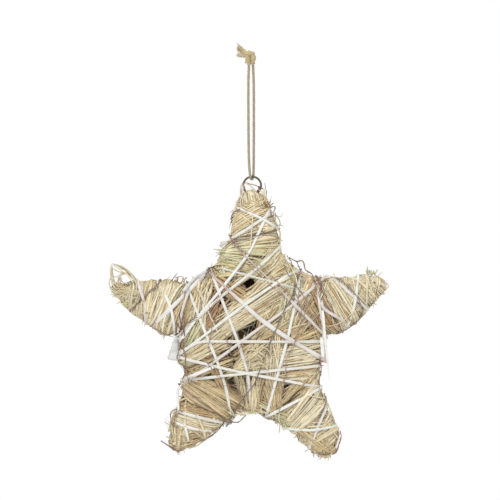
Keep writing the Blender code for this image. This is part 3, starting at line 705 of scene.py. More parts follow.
def wire_surface():
    surface = Surface("dull_dark_wire", 0.45)
    spot = surface.spots(700.0, 4.0)
    surface.base(surface.ramp(spot, (0.3, colour(66, 57, 50)), (0.7, colour(108, 97, 86))))
    surface.shader.inputs["Metallic"].default_value = 0.3
    surface.bump(spot, 0.3, 0.0002)
    return surface.material


def jute_surface():
    surface = Surface("jute", 0.85)
    fibre = surface.fibres(70.0, 9.0, 3.0, 5.0, 0.75)
    grain = surface.ramp(fibre, (0.28, grey(0.60)), (0.5, grey(0.95)), (0.75, grey(1.15)))
    surface.dyed(grain)
    surface.bump(fibre, 0.8, 0.0003)
    surface.shader.inputs["Sheen Weight"].default_value = 0.15
    return surface.material


def floor_surface():
    surface = Surface("pale_floor", 0.8)
    cloud = surface.spots(3.0, 2.0)
    surface.base(surface.ramp(cloud, (0.2, grey(0.80)), (0.8, grey(0.84))))
    return surface.material


# Strands of straw

class Guide:
    """The straw's outer skin, which the strands follow."""

    def __init__(self, node):
        rough = node.copy()
        rough.data = node.data.copy()
        bpy.context.scene.collection.objects.link(rough)
        remesh = rough.modifiers.new("one skin", "REMESH")
        remesh.mode = "VOXEL"
        remesh.voxel_size = 0.0024
        soften = rough.modifiers.new("soften", "SMOOTH")
        soften.factor = 0.5
        soften.iterations = 4
        graph = bpy.context.evaluated_depsgraph_get()
        self.mesh = bpy.data.meshes.new_from_object(rough.evaluated_get(graph))
        bpy.data.objects.remove(rough)
        moves = [vertex.normal * drawn_in(vertex.co) for vertex in self.mesh.vertices]
        for vertex, move in zip(self.mesh.vertices, moves):
            vertex.co = vertex.co - move
        self.mesh.update()
        corners = [vertex.co.copy() for vertex in self.mesh.vertices]
        faces = [tuple(face.vertices) for face in self.mesh.polygons]
        self.tree = BVHTree.FromPolygons(corners, faces)

    def seen_at(self, place, side):
        """The place and normal on the front (side -1) or the back (side 1)."""
        start = Vector((place.x, side, place.z))
        place, normal, _, _ = self.tree.ray_cast(start, Vector((0.0, -side, 0.0)))
        return (place, normal) if place else None

    def march(self, place, normal, way, length, sway, wander=0.0, phase=0.0):
        """Places and normals along the skin, from a place and in a direction, up to the round hole."""
        way = (way - normal * way.dot(normal)).normalized()
        found = []
        run = 0.0
        while run < length:
            step = min(MARCH_STEP, length - run + 1e-5)
            run += step
            aimed = place + way * step
            rim = hole_rim(place, aimed) if normal.y < 0 else None
            if rim:
                place, normal, _, _ = self.tree.find_nearest(rim)
                found.append((place, normal))
                break
            place, normal, _, _ = self.tree.find_nearest(aimed)
            bent = way + normal.cross(way) * (sway + wander * math.sin(run * 140 + phase))
            way = (bent - normal * bent.dot(normal)).normalized()
            found.append((place, normal))
        return found


def drawn_in(spot):
    """How far the straw is drawn in at this place on the star's edge."""
    depth = 0.0
    for (across, up), reach, most in DRAWN_IN:
        centre = on_star(across, up)
        away = math.hypot(spot.x - centre.x, spot.z - centre.z) / (reach * UNIT)
        depth += most * MILLIMETRE * math.exp(-away ** 2 * 1.5)
    return depth


def hole_rim(start, end):
    """Where the way from start to end meets the round hole's rim, or None."""
    (across, up), radius = ROUND_HOLE
    centre = on_star(across, up)
    way = Vector((end.x - start.x, end.z - start.z))
    back = Vector((start.x - centre.x, start.z - centre.z))
    reach = radius * UNIT
    if back.length < reach:
        return start
    a, b, c = way.dot(way), 2 * way.dot(back), back.dot(back) - reach * reach
    inside = b * b - 4 * a * c
    if a == 0 or inside <= 0:
        return None
    share = (-b - math.sqrt(inside)) / (2 * a)
    return start.lerp(end, share) if 0 < share < 1 else None


class Strands:
    """Strands gathered into one mesh, each with a cell of its own on the bake map."""

    columns = 16

    def __init__(self):
        self.places, self.normals, self.depths = [], [], []
        self.widths, self.colours, self.twists = [], [], []

    def add(self, places, normals, depths, width, shade, twist=0.0):
        """One strand. Depths are above the places, along the normals."""
        self.places.append(np.array(places))
        self.normals.append(np.array(normals))
        self.depths.append(np.array(depths, dtype=float) * np.ones(len(places)))
        self.widths.append(width)
        self.colours.append(shade)
        self.twists.append(twist)

    def build(self):
        """The mesh of all strands, pressed in at the gaps."""
        sizes = np.array([len(places) for places in self.places])
        starts = np.concatenate([[0], np.cumsum(sizes)[:-1]])
        owner = np.repeat(np.arange(len(sizes)), sizes)
        first, last = starts[owner], starts[owner] + sizes[owner] - 1
        index = np.arange(len(owner))
        share = (index - first) / np.maximum(last - first, 1)
        places, normals = np.concatenate(self.places), unit(np.concatenate(self.normals))
        depths = dented(places, normals, np.concatenate(self.depths))
        points = places + normals * depths[:, None]
        before, after = np.maximum(index - 1, first), np.minimum(index + 1, last)
        along = unit(points[after] - points[before])
        side = unit(np.cross(along, normals))
        up = np.cross(side, along)
        side, up = turned(side, up, (np.array(self.twists)[owner] * (share - 0.5))[:, None])
        tapered = 0.25 + 0.75 * np.minimum(1, 7 * np.minimum(share, 1 - share))
        width = np.array(self.widths)[owner] * tapered
        half = side * width[:, None] / 2
        rise = up * width[:, None] * STRAW_THICKNESS
        corners = np.stack([points - half, points + half, points + rise], axis=1).reshape(-1, 3)
        # Deeper strands are darkened in their colour: painted shade in the gaps and under the top layer
        shade = np.array(self.colours)[owner] * painted_depth_shade(depths)[:, None]
        return coloured_mesh(corners, *self.faces(sizes, starts), np.repeat(shade, 3, axis=0))

    def faces(self, sizes, starts):
        """Quads along the strands and triangles on their ends, with their bake map."""
        rows = math.ceil(len(sizes) / self.columns)
        cell = np.array([1 / self.columns, 1 / rows])
        quads, quad_uvs, caps, cap_uvs = [], [], [], []
        for number, (size, start) in enumerate(zip(sizes, starts)):
            corner = np.array([number % self.columns, number // self.columns])
            ring = 3 * (start + np.arange(size - 1))
            run = 0.05 + 0.9 * np.arange(size) / (size - 1)
            for low, high in ((0, 1), (1, 2), (2, 0)):
                quads.append(np.stack([ring + low, ring + low + 3, ring + high + 3, ring + high], axis=1))
                square = np.empty((size - 1, 4, 2))
                square[:, 0, 0] = square[:, 3, 0] = run[:-1]
                square[:, 1, 0] = square[:, 2, 0] = run[1:]
                square[:, :2, 1], square[:, 2:, 1] = 0.06 + 0.29 * low, 0.06 + 0.29 * (low + 1)
                quad_uvs.append((square + corner) * cell)
            end = 3 * (start + size - 1)
            caps.append([3 * start, 3 * start + 1, 3 * start + 2])
            caps.append([end, end + 2, end + 1])
            cap_uvs.append((np.array([[0.005, 0.1], [0.045, 0.1], [0.02, 0.9]]) + corner) * cell)
            cap_uvs.append((np.array([[0.955, 0.1], [0.995, 0.9], [0.975, 0.1]]) + corner) * cell)
        return np.concatenate(quads), np.array(caps), np.concatenate(quad_uvs), np.concatenate(cap_uvs)


def coloured_mesh(corners, quads, caps, quad_uvs, cap_uvs, tones):
    """A smooth mesh of corners, quads and triangles, with its bake map and its colours."""
    mesh = bpy.data.meshes.new("shape")
    loops = np.concatenate([quads.ravel(), caps.ravel()]).astype(np.int32)
    totals = np.repeat([4, 3], [len(quads), len(caps)]).astype(np.int32)
    mesh.vertices.add(len(corners))
    mesh.vertices.foreach_set("co", corners.astype(np.float32).ravel())
    mesh.loops.add(len(loops))
    mesh.loops.foreach_set("vertex_index", loops)
    mesh.polygons.add(len(totals))
    mesh.polygons.foreach_set("loop_start", (np.cumsum(totals) - totals).astype(np.int32))
    mesh.polygons.foreach_set("loop_total", totals)
    mesh.update(calc_edges=True)
    mesh.polygons.foreach_set("use_smooth", np.ones(len(totals), bool))
    colours = np.ones((len(corners), 4), np.float32)
    colours[:, :3] = tones
    mesh.color_attributes.new("tone", "FLOAT_COLOR", "POINT").data.foreach_set("color", colours.ravel())
    uvs = np.concatenate([quad_uvs.reshape(-1, 2), cap_uvs.reshape(-1, 2)]).astype(np.float32)
    mesh.uv_layers.new(name="OFBake").data.foreach_set("uv", uvs.ravel())
    return mesh


def dented(places, normals, depths):
    """The depths of strands, pressed in at the gaps."""
    across = (places[:, 0] - STAR_CENTRE.x) / UNIT
    up = (places[:, 2] - STAR_CENTRE.z) / UNIT
    front = normals[:, 1] < -0.1
    for (gap_across, gap_up), half_along, half_across, angle, deep in GAPS:
        turn = math.radians(angle)
        along = (across - gap_across) * math.cos(turn) + (up - gap_up) * math.sin(turn)
        aside = (up - gap_up) * math.cos(turn) - (across - gap_across) * math.sin(turn)
        out = (along / half_along) ** 2 + (aside / half_across) ** 2
        depths = depths - np.where(front, deep * MILLIMETRE * np.exp(-out * 1.4), 0.0)
    return depths


def painted_depth_shade(depths):
    """Deeper straw is darker: painted shade in the hollows between and under the strands."""
    return np.clip(1.10 + depths / 0.0064, 0.25, 1.0)


def varied(shade, rng, spread):
    """A straw's own colour, near its hank's colour."""
    light = 1 + rng.gauss(0, spread)
    warm = rng.gauss(0, 0.022)
    return [shade[0] * light * (1 + warm), shade[1] * light, shade[2] * light * (1 - 1.5 * warm)]


def lay_strand(strands, guide, rng, place, side, way, lengths, depth, width, shade, sway=0.0, tuck=0.0024):
    """One strand from a place both ways along the skin."""
    seen = guide.seen_at(place, side)
    if not seen:
        return
    wander, phase = rng.gauss(0, 0.03), rng.uniform(0, 6)
    back = guide.march(*seen, -way, lengths[0], sway, wander, phase)
    forth = guide.march(*seen, way, lengths[1], -sway, wander, phase)
    route = back[::-1] + [seen] + forth
    count = len(route)
    if count < 4:
        return
    share = np.linspace(0, 1, count)
    ends = np.clip(1 - 7 * np.minimum(share, 1 - share), 0, 1)
    wave = np.sin(share * rng.uniform(5, 16) + rng.uniform(0, 6)) * abs(rng.gauss(0, 0.00025))
    depths = depth - tuck * ends ** 1.5 + wave
    places = np.array([place for place, _ in route])
    normals = np.array([normal for _, normal in route])
    strands.add(places, normals, depths, width, shade, twist=rng.gauss(0, 1.4))


def lay_hank(strands, guide, rng, hank, side=-1, layers=4, mess=1.6):
    """A hank of strands side by side, crowned in the middle, with a few stray ones across it."""
    (across, up), angle, half_along, half_across, lean, lift, shade = hank
    centre = on_star(across, up)
    turn = math.radians(angle)
    along = Vector((math.cos(turn), 0.0, math.sin(turn)))
    aside = Vector((-along.z, 0.0, along.x))
    count = int(layers * 2 * half_across * UNIT / STRAW_WIDTH)
    for number in range(count):
        layer = rng.randrange(layers)
        stray = rng.random() < 0.05
        spot = 2 * (number + rng.uniform(-0.4, 1.4)) / count - 1
        shift = rng.uniform(-0.3, 0.3) * min(half_along, 24)
        place = centre + (aside * spot * half_across + along * shift) * UNIT
        leaning = math.radians(lean * spot + rng.gauss(0, 14 if stray else mess + layer * 1.2))
        way = along * math.cos(leaning) + aside * math.sin(leaning)
        half = half_along * UNIT * rng.uniform(0.75, 1.15)
        crown = 0.0009 * (spot * spot) + max(0.0, abs(spot) - 0.75) * 0.005
        depth = 0.0002 + lift * MILLIMETRE - crown - layer * 0.00036 + rng.gauss(0, 0.00012)
        width = STRAW_WIDTH * rng.choice((0.6, 0.7, 0.8, 0.9, 1.0, 1.1, 1.3, 1.6, 2.1))
        tint = varied(shade, rng, 0.08)
        if rng.random() < 0.08:
            tint = varied(BROWNISH, rng, 0.12)
        if stray:
            width, depth, half = width * 0.6, depth + 0.0004, half * 0.7
        lay_strand(strands, guide, rng, place, side, way, (half - shift * UNIT, half + shift * UNIT),
                   depth, width, tint, sway=rng.gauss(0, 0.02))


def make_straw(guide, surface):
    """All the straw: hanks wound round the arms, hanks on the centre, and the fill under them."""
    rng = random.Random(11)
    for arm, hanks in WOUND_HANKS.items():
        strands = Strands()
        for hank in hanks:
            lay_hank(strands, guide, rng, hank)
            place, angle, half_along, half_across, lean, lift, shade = hank
            back_angle = 2 * (ARM_ANGLES[arm] + 90) - angle
            back_hank = (place, back_angle, half_along, half_across * 1.3, lean, lift, shade)
            lay_hank(strands, guide, rng, back_hank, side=1, layers=3)
        new_object(f"straw_{arm}_arm", strands.build(), surface, "straw", "straw_star")
    front = Strands()
    for hank in FRONT_HANKS:
        lay_hank(front, guide, rng, hank)
    new_object("straw_front", front.build(), surface, "straw", "straw_star")
    back = Strands()
    for number in range(BACK_HANK_COUNT):
        angle = 360 / BACK_HANK_COUNT * number
        turn = math.radians(angle)
        place = (BACK_HANK_REACH * math.cos(turn), BACK_HANK_REACH * math.sin(turn))
        hank = (place, angle + 58, 44, 15, 5, rng.uniform(0.2, 0.9), rng.choice((PALE, STRAW, TAN)))
        lay_hank(back, guide, rng, hank, side=1)
    for hank in BACK_EDGE_HANKS + [((4, 0), 20, 30, 14, 5, 1.0, STRAW)]:
        lay_hank(back, guide, rng, hank, side=1)
    new_object("straw_back", back.build(), surface, "straw", "straw_star")
    fill = Strands()
    for _ in range(FILL_COUNT):
        angle = rng.uniform(0, 2 * math.pi)
        reach = math.sqrt(rng.random()) * FILL_REACH
        place = on_star(reach * math.cos(angle), reach * math.sin(angle))
        side = rng.choice((-1, 1))
        turn = angle + math.radians(rng.gauss(75, 25))
        way = Vector((math.cos(turn), 0.0, math.sin(turn)))
        lay_strand(fill, guide, rng, place, side, way, (0.026, 0.026), rng.uniform(-0.0040, -0.0024),
                   STRAW_WIDTH * 1.3, varied(TAN, rng, 0.12), tuck=0.001)
    new_object("straw_fill", fill.build(), surface, "straw", "straw_star")


def make_core(guide, surface):
    """The deep straw under the strands, coloured dark as painted shade between them."""
    mesh = guide.mesh.copy()
    normals = np.zeros(len(mesh.vertices) * 3, np.float32)
    mesh.vertices.foreach_get("normal", normals)
    places = np.zeros(len(mesh.vertices) * 3, np.float32)
    mesh.vertices.foreach_get("co", places)
    (across, up), radius = ROUND_HOLE
    hole = on_star(across, up)
    normals, places = normals.reshape(-1, 3), places.reshape(-1, 3)
    away = np.hypot(places[:, 0] - hole.x, places[:, 2] - hole.z) / (radius * UNIT)
    inset = CORE_INSET + np.where(normals[:, 1] < 0, 0.009 * np.exp(-(away / 1.3) ** 4), 0.0)
    inset = -dented(places, normals, -inset)
    mesh.vertices.foreach_set("co", (places - normals * inset[:, None]).ravel())
    mesh.materials.clear()
    mesh.update()
    new_object("straw_deep_painted_shade", mesh, surface, "straw", "straw_star")


# Windings

class Route:
    """A line across the star's front, with its ends carried on past the star's edge."""

    def __init__(self, places):
        points = [on_star(*place) for place in places]
        first = (points[0] - points[1]).normalized() * REACH_BEYOND * UNIT
        last = (points[-1] - points[-2]).normalized() * REACH_BEYOND * UNIT
        self.points = [points[0] + first, *points[1:-1], points[-1] + last]
        self.starts = [0.0]
        for here, there in zip(self.points, self.points[1:]):
            self.starts.append(self.starts[-1] + (there - here).length)

    def way(self, leg):
        """The direction of one leg, and the direction across it."""
        along = (self.points[leg + 1] - self.points[leg]).normalized()
        return along, Vector((-along.z, 0.0, along.x))

    def leg_at(self, run):
        """The leg that this distance along the route is on."""
        for leg in range(len(self.points) - 2):
            if run < self.starts[leg + 1]:
                return leg
        return len(self.points) - 2

    def place(self, run, depth):
        """The point at this distance along the route and this depth."""
        leg = self.leg_at(run)
        along, _ = self.way(leg)
        return self.points[leg] + along * (run - self.starts[leg]) + Vector((0.0, depth, 0.0))


def clipped(corners, axis, limit, side):
    """The part of a polygon whose coordinate on the axis is on the wanted side of the limit."""
    kept = []
    for here, there in zip(corners, corners[1:] + corners[:1]):
        here_over = side * (here[axis] - limit)
        there_over = side * (there[axis] - limit)
        if here_over <= 0:
            kept.append(here)
        if (here_over < 0 < there_over) or (there_over < 0 < here_over):
            share = here_over / (here_over - there_over)
            kept.append([a + (b - a) * share for a, b in zip(here, there)])
    return kept


def section(route, triangles, half_width):
    """What lies within half a width of the route: polygons of (run, depth) points."""
    found = []
    for leg in range(len(route.points) - 1):
        along, across = (np.array(way) for way in route.way(leg))
        start = np.array(route.points[leg])
        local = np.stack([(triangles - start) @ along, (triangles - start) @ across,
                          triangles[:, :, 1]], axis=2)
        length = route.starts[leg + 1] - route.starts[leg]
        margin = half_width * 0.4
        near = ((local[:, :, 1].min(1) < half_width) & (local[:, :, 1].max(1) > -half_width)
                & (local[:, :, 0].min(1) < length + margin) & (local[:, :, 0].max(1) > -margin))
        for corners in local[near].tolist():
            for axis, limit, side in ((1, half_width, 1), (1, -half_width, -1),
                                      (0, length + margin, 1), (0, -margin, -1)):
                corners = clipped(corners, axis, limit, side) if corners else corners
            if corners:
                found.append([(corner[0] + route.starts[leg], corner[2]) for corner in corners])
    return found


def wound_stretch(route, polygons):
    """The stretch of the route over which the star and its windings go on without a break."""
    middle = (route.starts[1] + route.starts[-2]) / 2
    if len(route.points) == 2:
        middle = route.starts[-1] / 2
    stretches = sorted((min(p[0] for p in polygon), max(p[0] for p in polygon)) for polygon in polygons)
    low, high = stretches[0]
    for start, end in stretches[1:]:
        if start > high + JOINED_SECTION_GAP:
            if high >= middle:
                break
            low, high = start, end
        high = max(high, end)
    return low, high


def taut_loop(route, solids, half_width, clearance):
    """A taut loop round the star along the route, as points in order."""
    polygons = [polygon for solid in solids for polygon in section(route, solid, half_width)]
    low, high = wound_stretch(route, polygons)
    points = np.array([point for polygon in polygons for point in polygon if low <= point[0] <= high])
    turns = sorted({side * turn for turn in TAUT_TURNS for side in (-1, 1)})
    angles = [math.radians(turn - 90) for turn in turns] + [0.0]
    angles += [math.radians(turn + 90) for turn in turns] + [math.pi]
    normals = [(math.cos(angle), math.sin(angle)) for angle in angles]
    supports = [float((points @ np.array(normal)).max()) + clearance for normal in normals]
    corners = []
    for number, normal in enumerate(normals):
        following = normals[(number + 1) % len(normals)]
        reach, next_reach = supports[number], supports[(number + 1) % len(normals)]
        area = normal[0] * following[1] - normal[1] * following[0]
        corner = ((reach * following[1] - next_reach * normal[1]) / area,
                  (normal[0] * next_reach - following[0] * reach) / area)
        if not corners or math.dist(corner, corners[-1]) > SHORTEST_EDGE:
            corners.append(corner)
    return loop_line(route, corners)


def eased(points, times):
    """A closed line with its corners eased."""
    for _ in range(times):
        points = 0.5 * points + 0.25 * (np.roll(points, 1, axis=0) + np.roll(points, -1, axis=0))
    return points


def loop_line(route, corners):
    """The loop as close points with its corners eased, and the way across it at each."""
    closed = corners + corners[:1]
    dense = []
    for here, there in zip(closed, closed[1:]):
        steps = max(1, round(math.dist(here, there) / 0.002))
        dense += [tuple(a + (b - a) * step / steps for a, b in zip(here, there)) for step in range(steps)]
    points = np.array([route.place(*spot) for spot in dense])
    across = np.array([route.way(route.leg_at(run))[1] for run, _ in dense])
    return eased(points, 5), unit(eased(across, 8))


def settled(points, across, guide, slack):
    """The loop drawn in to lie close over the straw, without moving it sideways."""
    for _ in range(3):
        moved = points.copy()
        for number, point in enumerate(points):
            near, normal, _, _ = guide.tree.find_nearest(Vector(point))
            above = (Vector(point) - near).dot(normal)
            if above > slack:
                way = np.array(near) - point
                way -= across[number] * (way @ across[number])
                moved[number] = point + way * (1 - slack / above) * 0.8
        points = eased(moved, 3)
    return points


def band_mesh(points, normals, width, shade, rng, closed=True):
    """A flat band along the points, a little arched across, with an uneven edge."""
    along = ways_along(points, closed)
    side = unit(np.cross(along, normals))
    up = np.cross(side, along)
    run = runs_along(points)
    total = run[-1] + (np.linalg.norm(points[0] - points[-1]) if closed else 0.0)
    phase = [rng.uniform(0, 6.28) for _ in range(4)]
    cycle = 2 * math.pi * run / total
    spread = 1 + 0.07 * np.sin(5 * cycle + phase[0]) + 0.05 * np.sin(13 * cycle + phase[1])
    tilt = (0.10 * np.sin(3 * cycle + phase[2]) + 0.07 * np.sin(8 * cycle + phase[3]))[:, None]
    side, up = turned(side, up, tilt)
    if not closed:
        spread = spread * np.clip(0.66 + from_ends(len(points)) * 0.2, 0, 1)
    shape = ((-0.5, 0.0), (-0.25, 0.75), (0.0, 1.0), (0.25, 0.75), (0.5, 0.0))
    rise = STRIP_ARCH * np.reshape(width, (-1, 1))
    outer = [points + side * (a * width * spread)[:, None] + up * (b * rise + STRIP_THICKNESS)
             for a, b in shape]
    inner = [points + side * (a * width * 0.985 * spread)[:, None] + up * b * rise * 0.9
             for a, b in reversed(shape)]
    return ring_mesh(np.stack(outer + inner, axis=1), closed, shade)


def ring_mesh(rings, closed, shade):
    """A mesh of rings of corners, joined in order, with a bake map along and round it."""
    count, around = rings.shape[:2]
    steps = count if closed else count - 1
    here = np.arange(steps)
    there = (here + 1) % count
    quads, uvs = [], []
    for spot in range(around):
        following = (spot + 1) % around
        quads.append(np.stack([here * around + spot, here * around + following,
                               there * around + following, there * around + spot], axis=1))
        square = np.empty((steps, 4, 2))
        square[:, 0, 0] = square[:, 1, 0] = 0.01 + 0.98 * here / steps
        square[:, 2, 0] = square[:, 3, 0] = 0.01 + 0.98 * (here + 1) / steps
        square[:, 0, 1] = square[:, 3, 1] = 0.01 + 0.98 * spot / around
        square[:, 1, 1] = square[:, 2, 1] = 0.01 + 0.98 * (spot + 1) / around
        uvs.append(square)
    fan = []
    if not closed:
        end = (count - 1) * around
        fan = [(0, spot + 1, spot) for spot in range(1, around - 1)]
        fan += [(end, end + spot, end + spot + 1) for spot in range(1, around - 1)]
    caps = np.array(fan, int).reshape(-1, 3)
    cap_uvs = np.tile(((0.001, 0.001), (0.008, 0.001), (0.001, 0.008)), (len(fan), 1))
    tones = shade if np.ndim(shade) == 1 else np.repeat(shade, around, axis=0)
    return coloured_mesh(rings.reshape(-1, 3), np.concatenate(quads), caps, np.concatenate(uvs), cap_uvs,
                         tones)


def tube_mesh(points, radii, sides, shade, closed=False, roughness=0.0, rng=None):
    """A round tube along the points."""
    along = ways_along(points, closed)
    guide = np.array([0.0, -1.0, 0.0]) + 0.3 * np.array([along[:, 2], 0 * along[:, 0], along[:, 0]]).T
    side = unit(np.cross(along, guide))
    up = np.cross(side, along)
    rings = []
    for spot in range(sides):
        turn = 2 * math.pi * spot / sides
        out = side * math.cos(turn) - up * math.sin(turn)
        reach = np.array(radii) * np.ones(len(points))
        if roughness:
            reach = reach * (1 + np.array([rng.gauss(0, roughness) for _ in range(len(points))]))
        rings.append(points + out * reach[:, None])
    return ring_mesh(np.stack(rings, axis=1), closed, shade)


def from_ends(count):
    """How many points each point of a line is from the line's nearer end."""
    return np.minimum(np.arange(count), np.arange(count)[::-1])


def make_strips(solids, guide, surface, rng):
    """The white strips, each laid over the ones before it."""
    for number, places in enumerate(STRIPS, 1):
        solid = f"white_strip_{number:02d}"
        width = BROAD_STRIP_WIDTH if number in BROAD_STRIPS else STRIP_WIDTH
        points, across = taut_loop(Route(places), solids, width / 2 + GAP, GAP)
        points = settled(points, across, guide, 0.0006 + 0.00007 * number)
        normals = outward(points, across)
        shade = rng.choice(STRIP_TONES)
        trimmed = width * STRIP_TRIM
        if number in THINNER_LEFT_OF:
            limit, thin = THINNER_LEFT_OF[number]
            share = np.clip((points[:, 0] - on_star(limit, 0).x) / 0.016 + 0.5, 0, 1)[:, None]
            trimmed = trimmed * (thin + (1 - thin) * share[:, 0])
            shade = np.array(BROWN_SHAVING) * (1 - share) + np.array(shade) * share
        if number in LIFTED:
            spot, reach, lift = LIFTED[number]
            offset = points[:, [0, 2]] - np.array(on_star(*spot))[[0, 2]]
            share = np.exp(-(np.hypot(*offset.T) / (reach * UNIT)) ** 2) * (normals[:, 1] < 0)
            points = points + normals * (share * lift * MILLIMETRE)[:, None]
        mesh = band_mesh(points, normals, trimmed, shade, rng)
        new_object(f"shaving_{number:02d}", mesh, surface, "white_strip", solid)
        solids.append(triangles_of(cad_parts[solid]))


def outward(points, across):
    """The outward normals of a closed loop that goes once round the star."""
    normals = unit(np.cross(ways_along(points), across))
    flip = np.sum(normals * (points - points.mean(axis=0))) < 0
    return -normals if flip else normals


def twig_line(points, rng, wiggle, closed):
    """A twig's line, which wanders a little from side to side."""
    count = len(points)
    cycle = np.linspace(0, 2 * math.pi, count, endpoint=not closed)
    aside = np.zeros((count, 3))
    for times in (5, 9, 14, 23):
        for axis in (0, 2):
            aside[:, axis] += np.sin(times * cycle + rng.uniform(0, 6.28)) * wiggle / math.sqrt(times) * 1.6
    return points + aside


def twig_radii(count, rng, thick):
    """A twig's half thickness along its length, with knots in it."""
    cycle = np.linspace(0, 2 * math.pi, count)
    radii = thick / 2 * (1 + 0.18 * np.sin(4 * cycle + rng.uniform(0, 6)) + 0.1 * np.sin(11 * cycle))
    for _ in range(max(1, count // 60)):
        spot = rng.randrange(count)
        radii += thick * 0.22 * np.exp(-((np.arange(count) - spot) / 1.5) ** 2)
    return radii


def make_twigs(solids, guide, surface, rng):
    """The thin twigs over the strips, and their curly ends. Gives the search trees of all that is wound."""
    for number, places in enumerate(TWIG_WRAPS, 1):
        solid = f"vine_twig_{number:02d}"
        reach = TWIG_DIAMETER / 2 + GAP
        points, across = taut_loop(Route(places), solids, reach, reach)
        points = settled(points, across, guide, 0.0026)
        share, shade, with_runner = TWIG_LOOKS[number - 1]
        main = twig_line(points, rng, 0.0008, True)
        radii = twig_radii(len(points), rng, TWIG_DIAMETER * TWIG_FULLNESS * share)
        if number in FAINT_BELOW:
            below = np.clip((on_star(0, FAINT_BELOW[number]).z - points[:, 2]) / 0.008, 0, 1)[:, None]
            radii = radii * (1 - 0.5 * below[:, 0])
            shade = np.array(shade) * (1 - below) + np.array(TAN) * below
        stems = [tube_mesh(main, radii, 7, shade, closed=True, roughness=0.06, rng=rng)]
        if with_runner and number not in FAINT_BELOW:
            cycle = np.linspace(0, 2 * math.pi, len(points), endpoint=False)
            aside = across * (0.0011 * np.sin(3 * cycle + number) + 0.0006)[:, None]
            beside = twig_line(points + aside, rng, 0.0006, True)
            stems.append(tube_mesh(beside, twig_radii(len(points), rng, 0.0006), 5, rng.choice(TWIG_TONES),
                                   closed=True, rng=rng))
        new_object(f"twig_{number:02d}", joined(stems), surface, "vine", solid)
        solids.append(triangles_of(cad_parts[solid]))
    trees = [tree_of(solid) for solid in solids]
    for number, places in enumerate(TWIG_CURLS, 1):
        solid = f"vine_curl_{number:02d}"
        points = curl_line(places, trees)
        radii = twig_radii(len(points), rng, TWIG_DIAMETER * 0.66)
        mesh = tube_mesh(points, radii, 7, rng.choice(TWIG_TONES), roughness=0.06, rng=rng)
        new_object(f"curl_{number:02d}", mesh, surface, "vine", solid)
        trees.append(tree_of(triangles_of(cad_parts[solid])))
    return trees


def front_of(trees, across, up):
    """The front-most depth at a place, or None where nothing is."""
    start = Vector((across, -1.0, up))
    hits = [tree.ray_cast(start, Vector((0.0, 1.0, 0.0)))[0] for tree in trees]
    depths = [hit.y for hit in hits if hit]
    return min(depths) if depths else None


def curl_line(places, trees, lift=0.0012, spacing=0.0015):
    """A loose end's line, on whatever is under it or standing out past the star's edge."""
    flat = smooth_line([on_star(*place) for place in places], spacing)
    depths = []
    for spot in flat:
        near = [front_of(trees, spot[0] + a, spot[2] + b) for a, b in ((0, 0), (0.001, 0), (-0.001, 0),
                                                                      (0, 0.001), (0, -0.001))]
        near = [depth for depth in near if depth is not None]
        depths.append(min(near) if near else None)
    known = [depth for depth in depths if depth is not None]
    last = known[0] if known else 0.0
    for number, depth in enumerate(depths):
        last = depth if depth is not None else last
        depths[number] = last - lift
    depths = np.array(depths)
    padded = np.pad(depths, 3, mode="edge")
    depths = np.minimum(depths, np.convolve(padded, np.ones(7) / 7, mode="valid"))
    flat[:, 1] = depths
    return flat


# Loose pieces, which lie on the front or stand off the star's edge

def make_loose_strips(trees, surface, rng):
    """Short strips on the front, and the ends that stand free."""
    meshes = []
    listed = [(*strip, trees) for strip in LOOSE_STRIPS] + [(*strip, trees[:1]) for strip in TUCKED_STRIPS]
    for places, widths, shade, under in listed:
        points = curl_line(places, under, lift=0.0007, spacing=0.002)
        count = len(points)
        points[:, 1] += np.clip(1 - from_ends(count) / 3, 0, 1) * 0.0012
        spread = np.interp(np.linspace(0, 1, count), np.linspace(0, 1, len(widths)), widths) * MILLIMETRE
        normals = np.array([[0.0, -1.0, 0.0]] * count)
        meshes.append(band_mesh(points, normals, spread, varied(shade, rng, 0.02), rng, closed=False))
    new_object("shaving_ends", joined(meshes), surface, "white_strip")


def make_loose_twigs(trees, surface, rng):
    """Thin twigs and tendrils that lie on the front or stand off it."""
    meshes = []
    for places, thick, shade in LOOSE_TWIGS:
        points = curl_line(places, trees, lift=0.0008, spacing=0.0012)
        points = twig_line(points, rng, 0.00035, False)
        radii = twig_radii(len(points), rng, thick * 0.00085)
        radii = radii * np.clip(1.15 - np.linspace(0, 1, len(points)) ** 2, 0.3, 1)
        meshes.append(tube_mesh(points, radii, 6, varied(shade, rng, 0.05), roughness=0.08, rng=rng))
    new_object("vine_tendrils", joined(meshes), surface, "vine")


def add_loose_straw(strands, line, width, shade, rng):
    """A loose straw along a line in space, its flat side turned to the front."""
    strands.add(line, [Vector((0.0, -1.0, 0.0))] * len(line), 0.0, width, varied(shade, rng, 0.08),
                twist=rng.gauss(0, 1.2))


def make_loose_straws(trees, guide, surface, rng):
    """Straws that have come loose: the listed ones, the tufts and the short ends all over."""
    strands = Strands()
    for places, width, shade in LOOSE_STRAWS:
        line = curl_line(places, trees, lift=0.0006, spacing=0.0022)
        add_loose_straw(strands, line, width * MILLIMETRE, shade, rng)
    for (across, up), angle, spread, count, size, length, shade in TUFTS:
        for _ in range(count):
            start = on_star(across + rng.gauss(0, size[0] / 2), up + rng.gauss(0, size[1] / 2))
            depth = front_of(trees[:1], start.x, start.z)
            start.y = (depth if depth is not None else 0.0) + rng.uniform(0.0, 0.006)
            turn = math.radians(angle + rng.gauss(0, spread))
            way = Vector((math.cos(turn), rng.gauss(-0.1, 0.15), math.sin(turn)))
            bend = Vector((rng.gauss(0, 0.25), rng.gauss(0, 0.15), rng.gauss(0, 0.25)))
            reach = length * MILLIMETRE * rng.uniform(0.6, 1.1)
            line = [start + (way + bend * step) * reach * step for step in np.linspace(0, 1, 7)]
            add_loose_straw(strands, line, STRAW_WIDTH * rng.uniform(0.4, 0.9), shade, rng)
    add_short_ends(strands, guide, rng)
    new_object("straw_ends", strands.build(), surface, "straw", "straw_star")


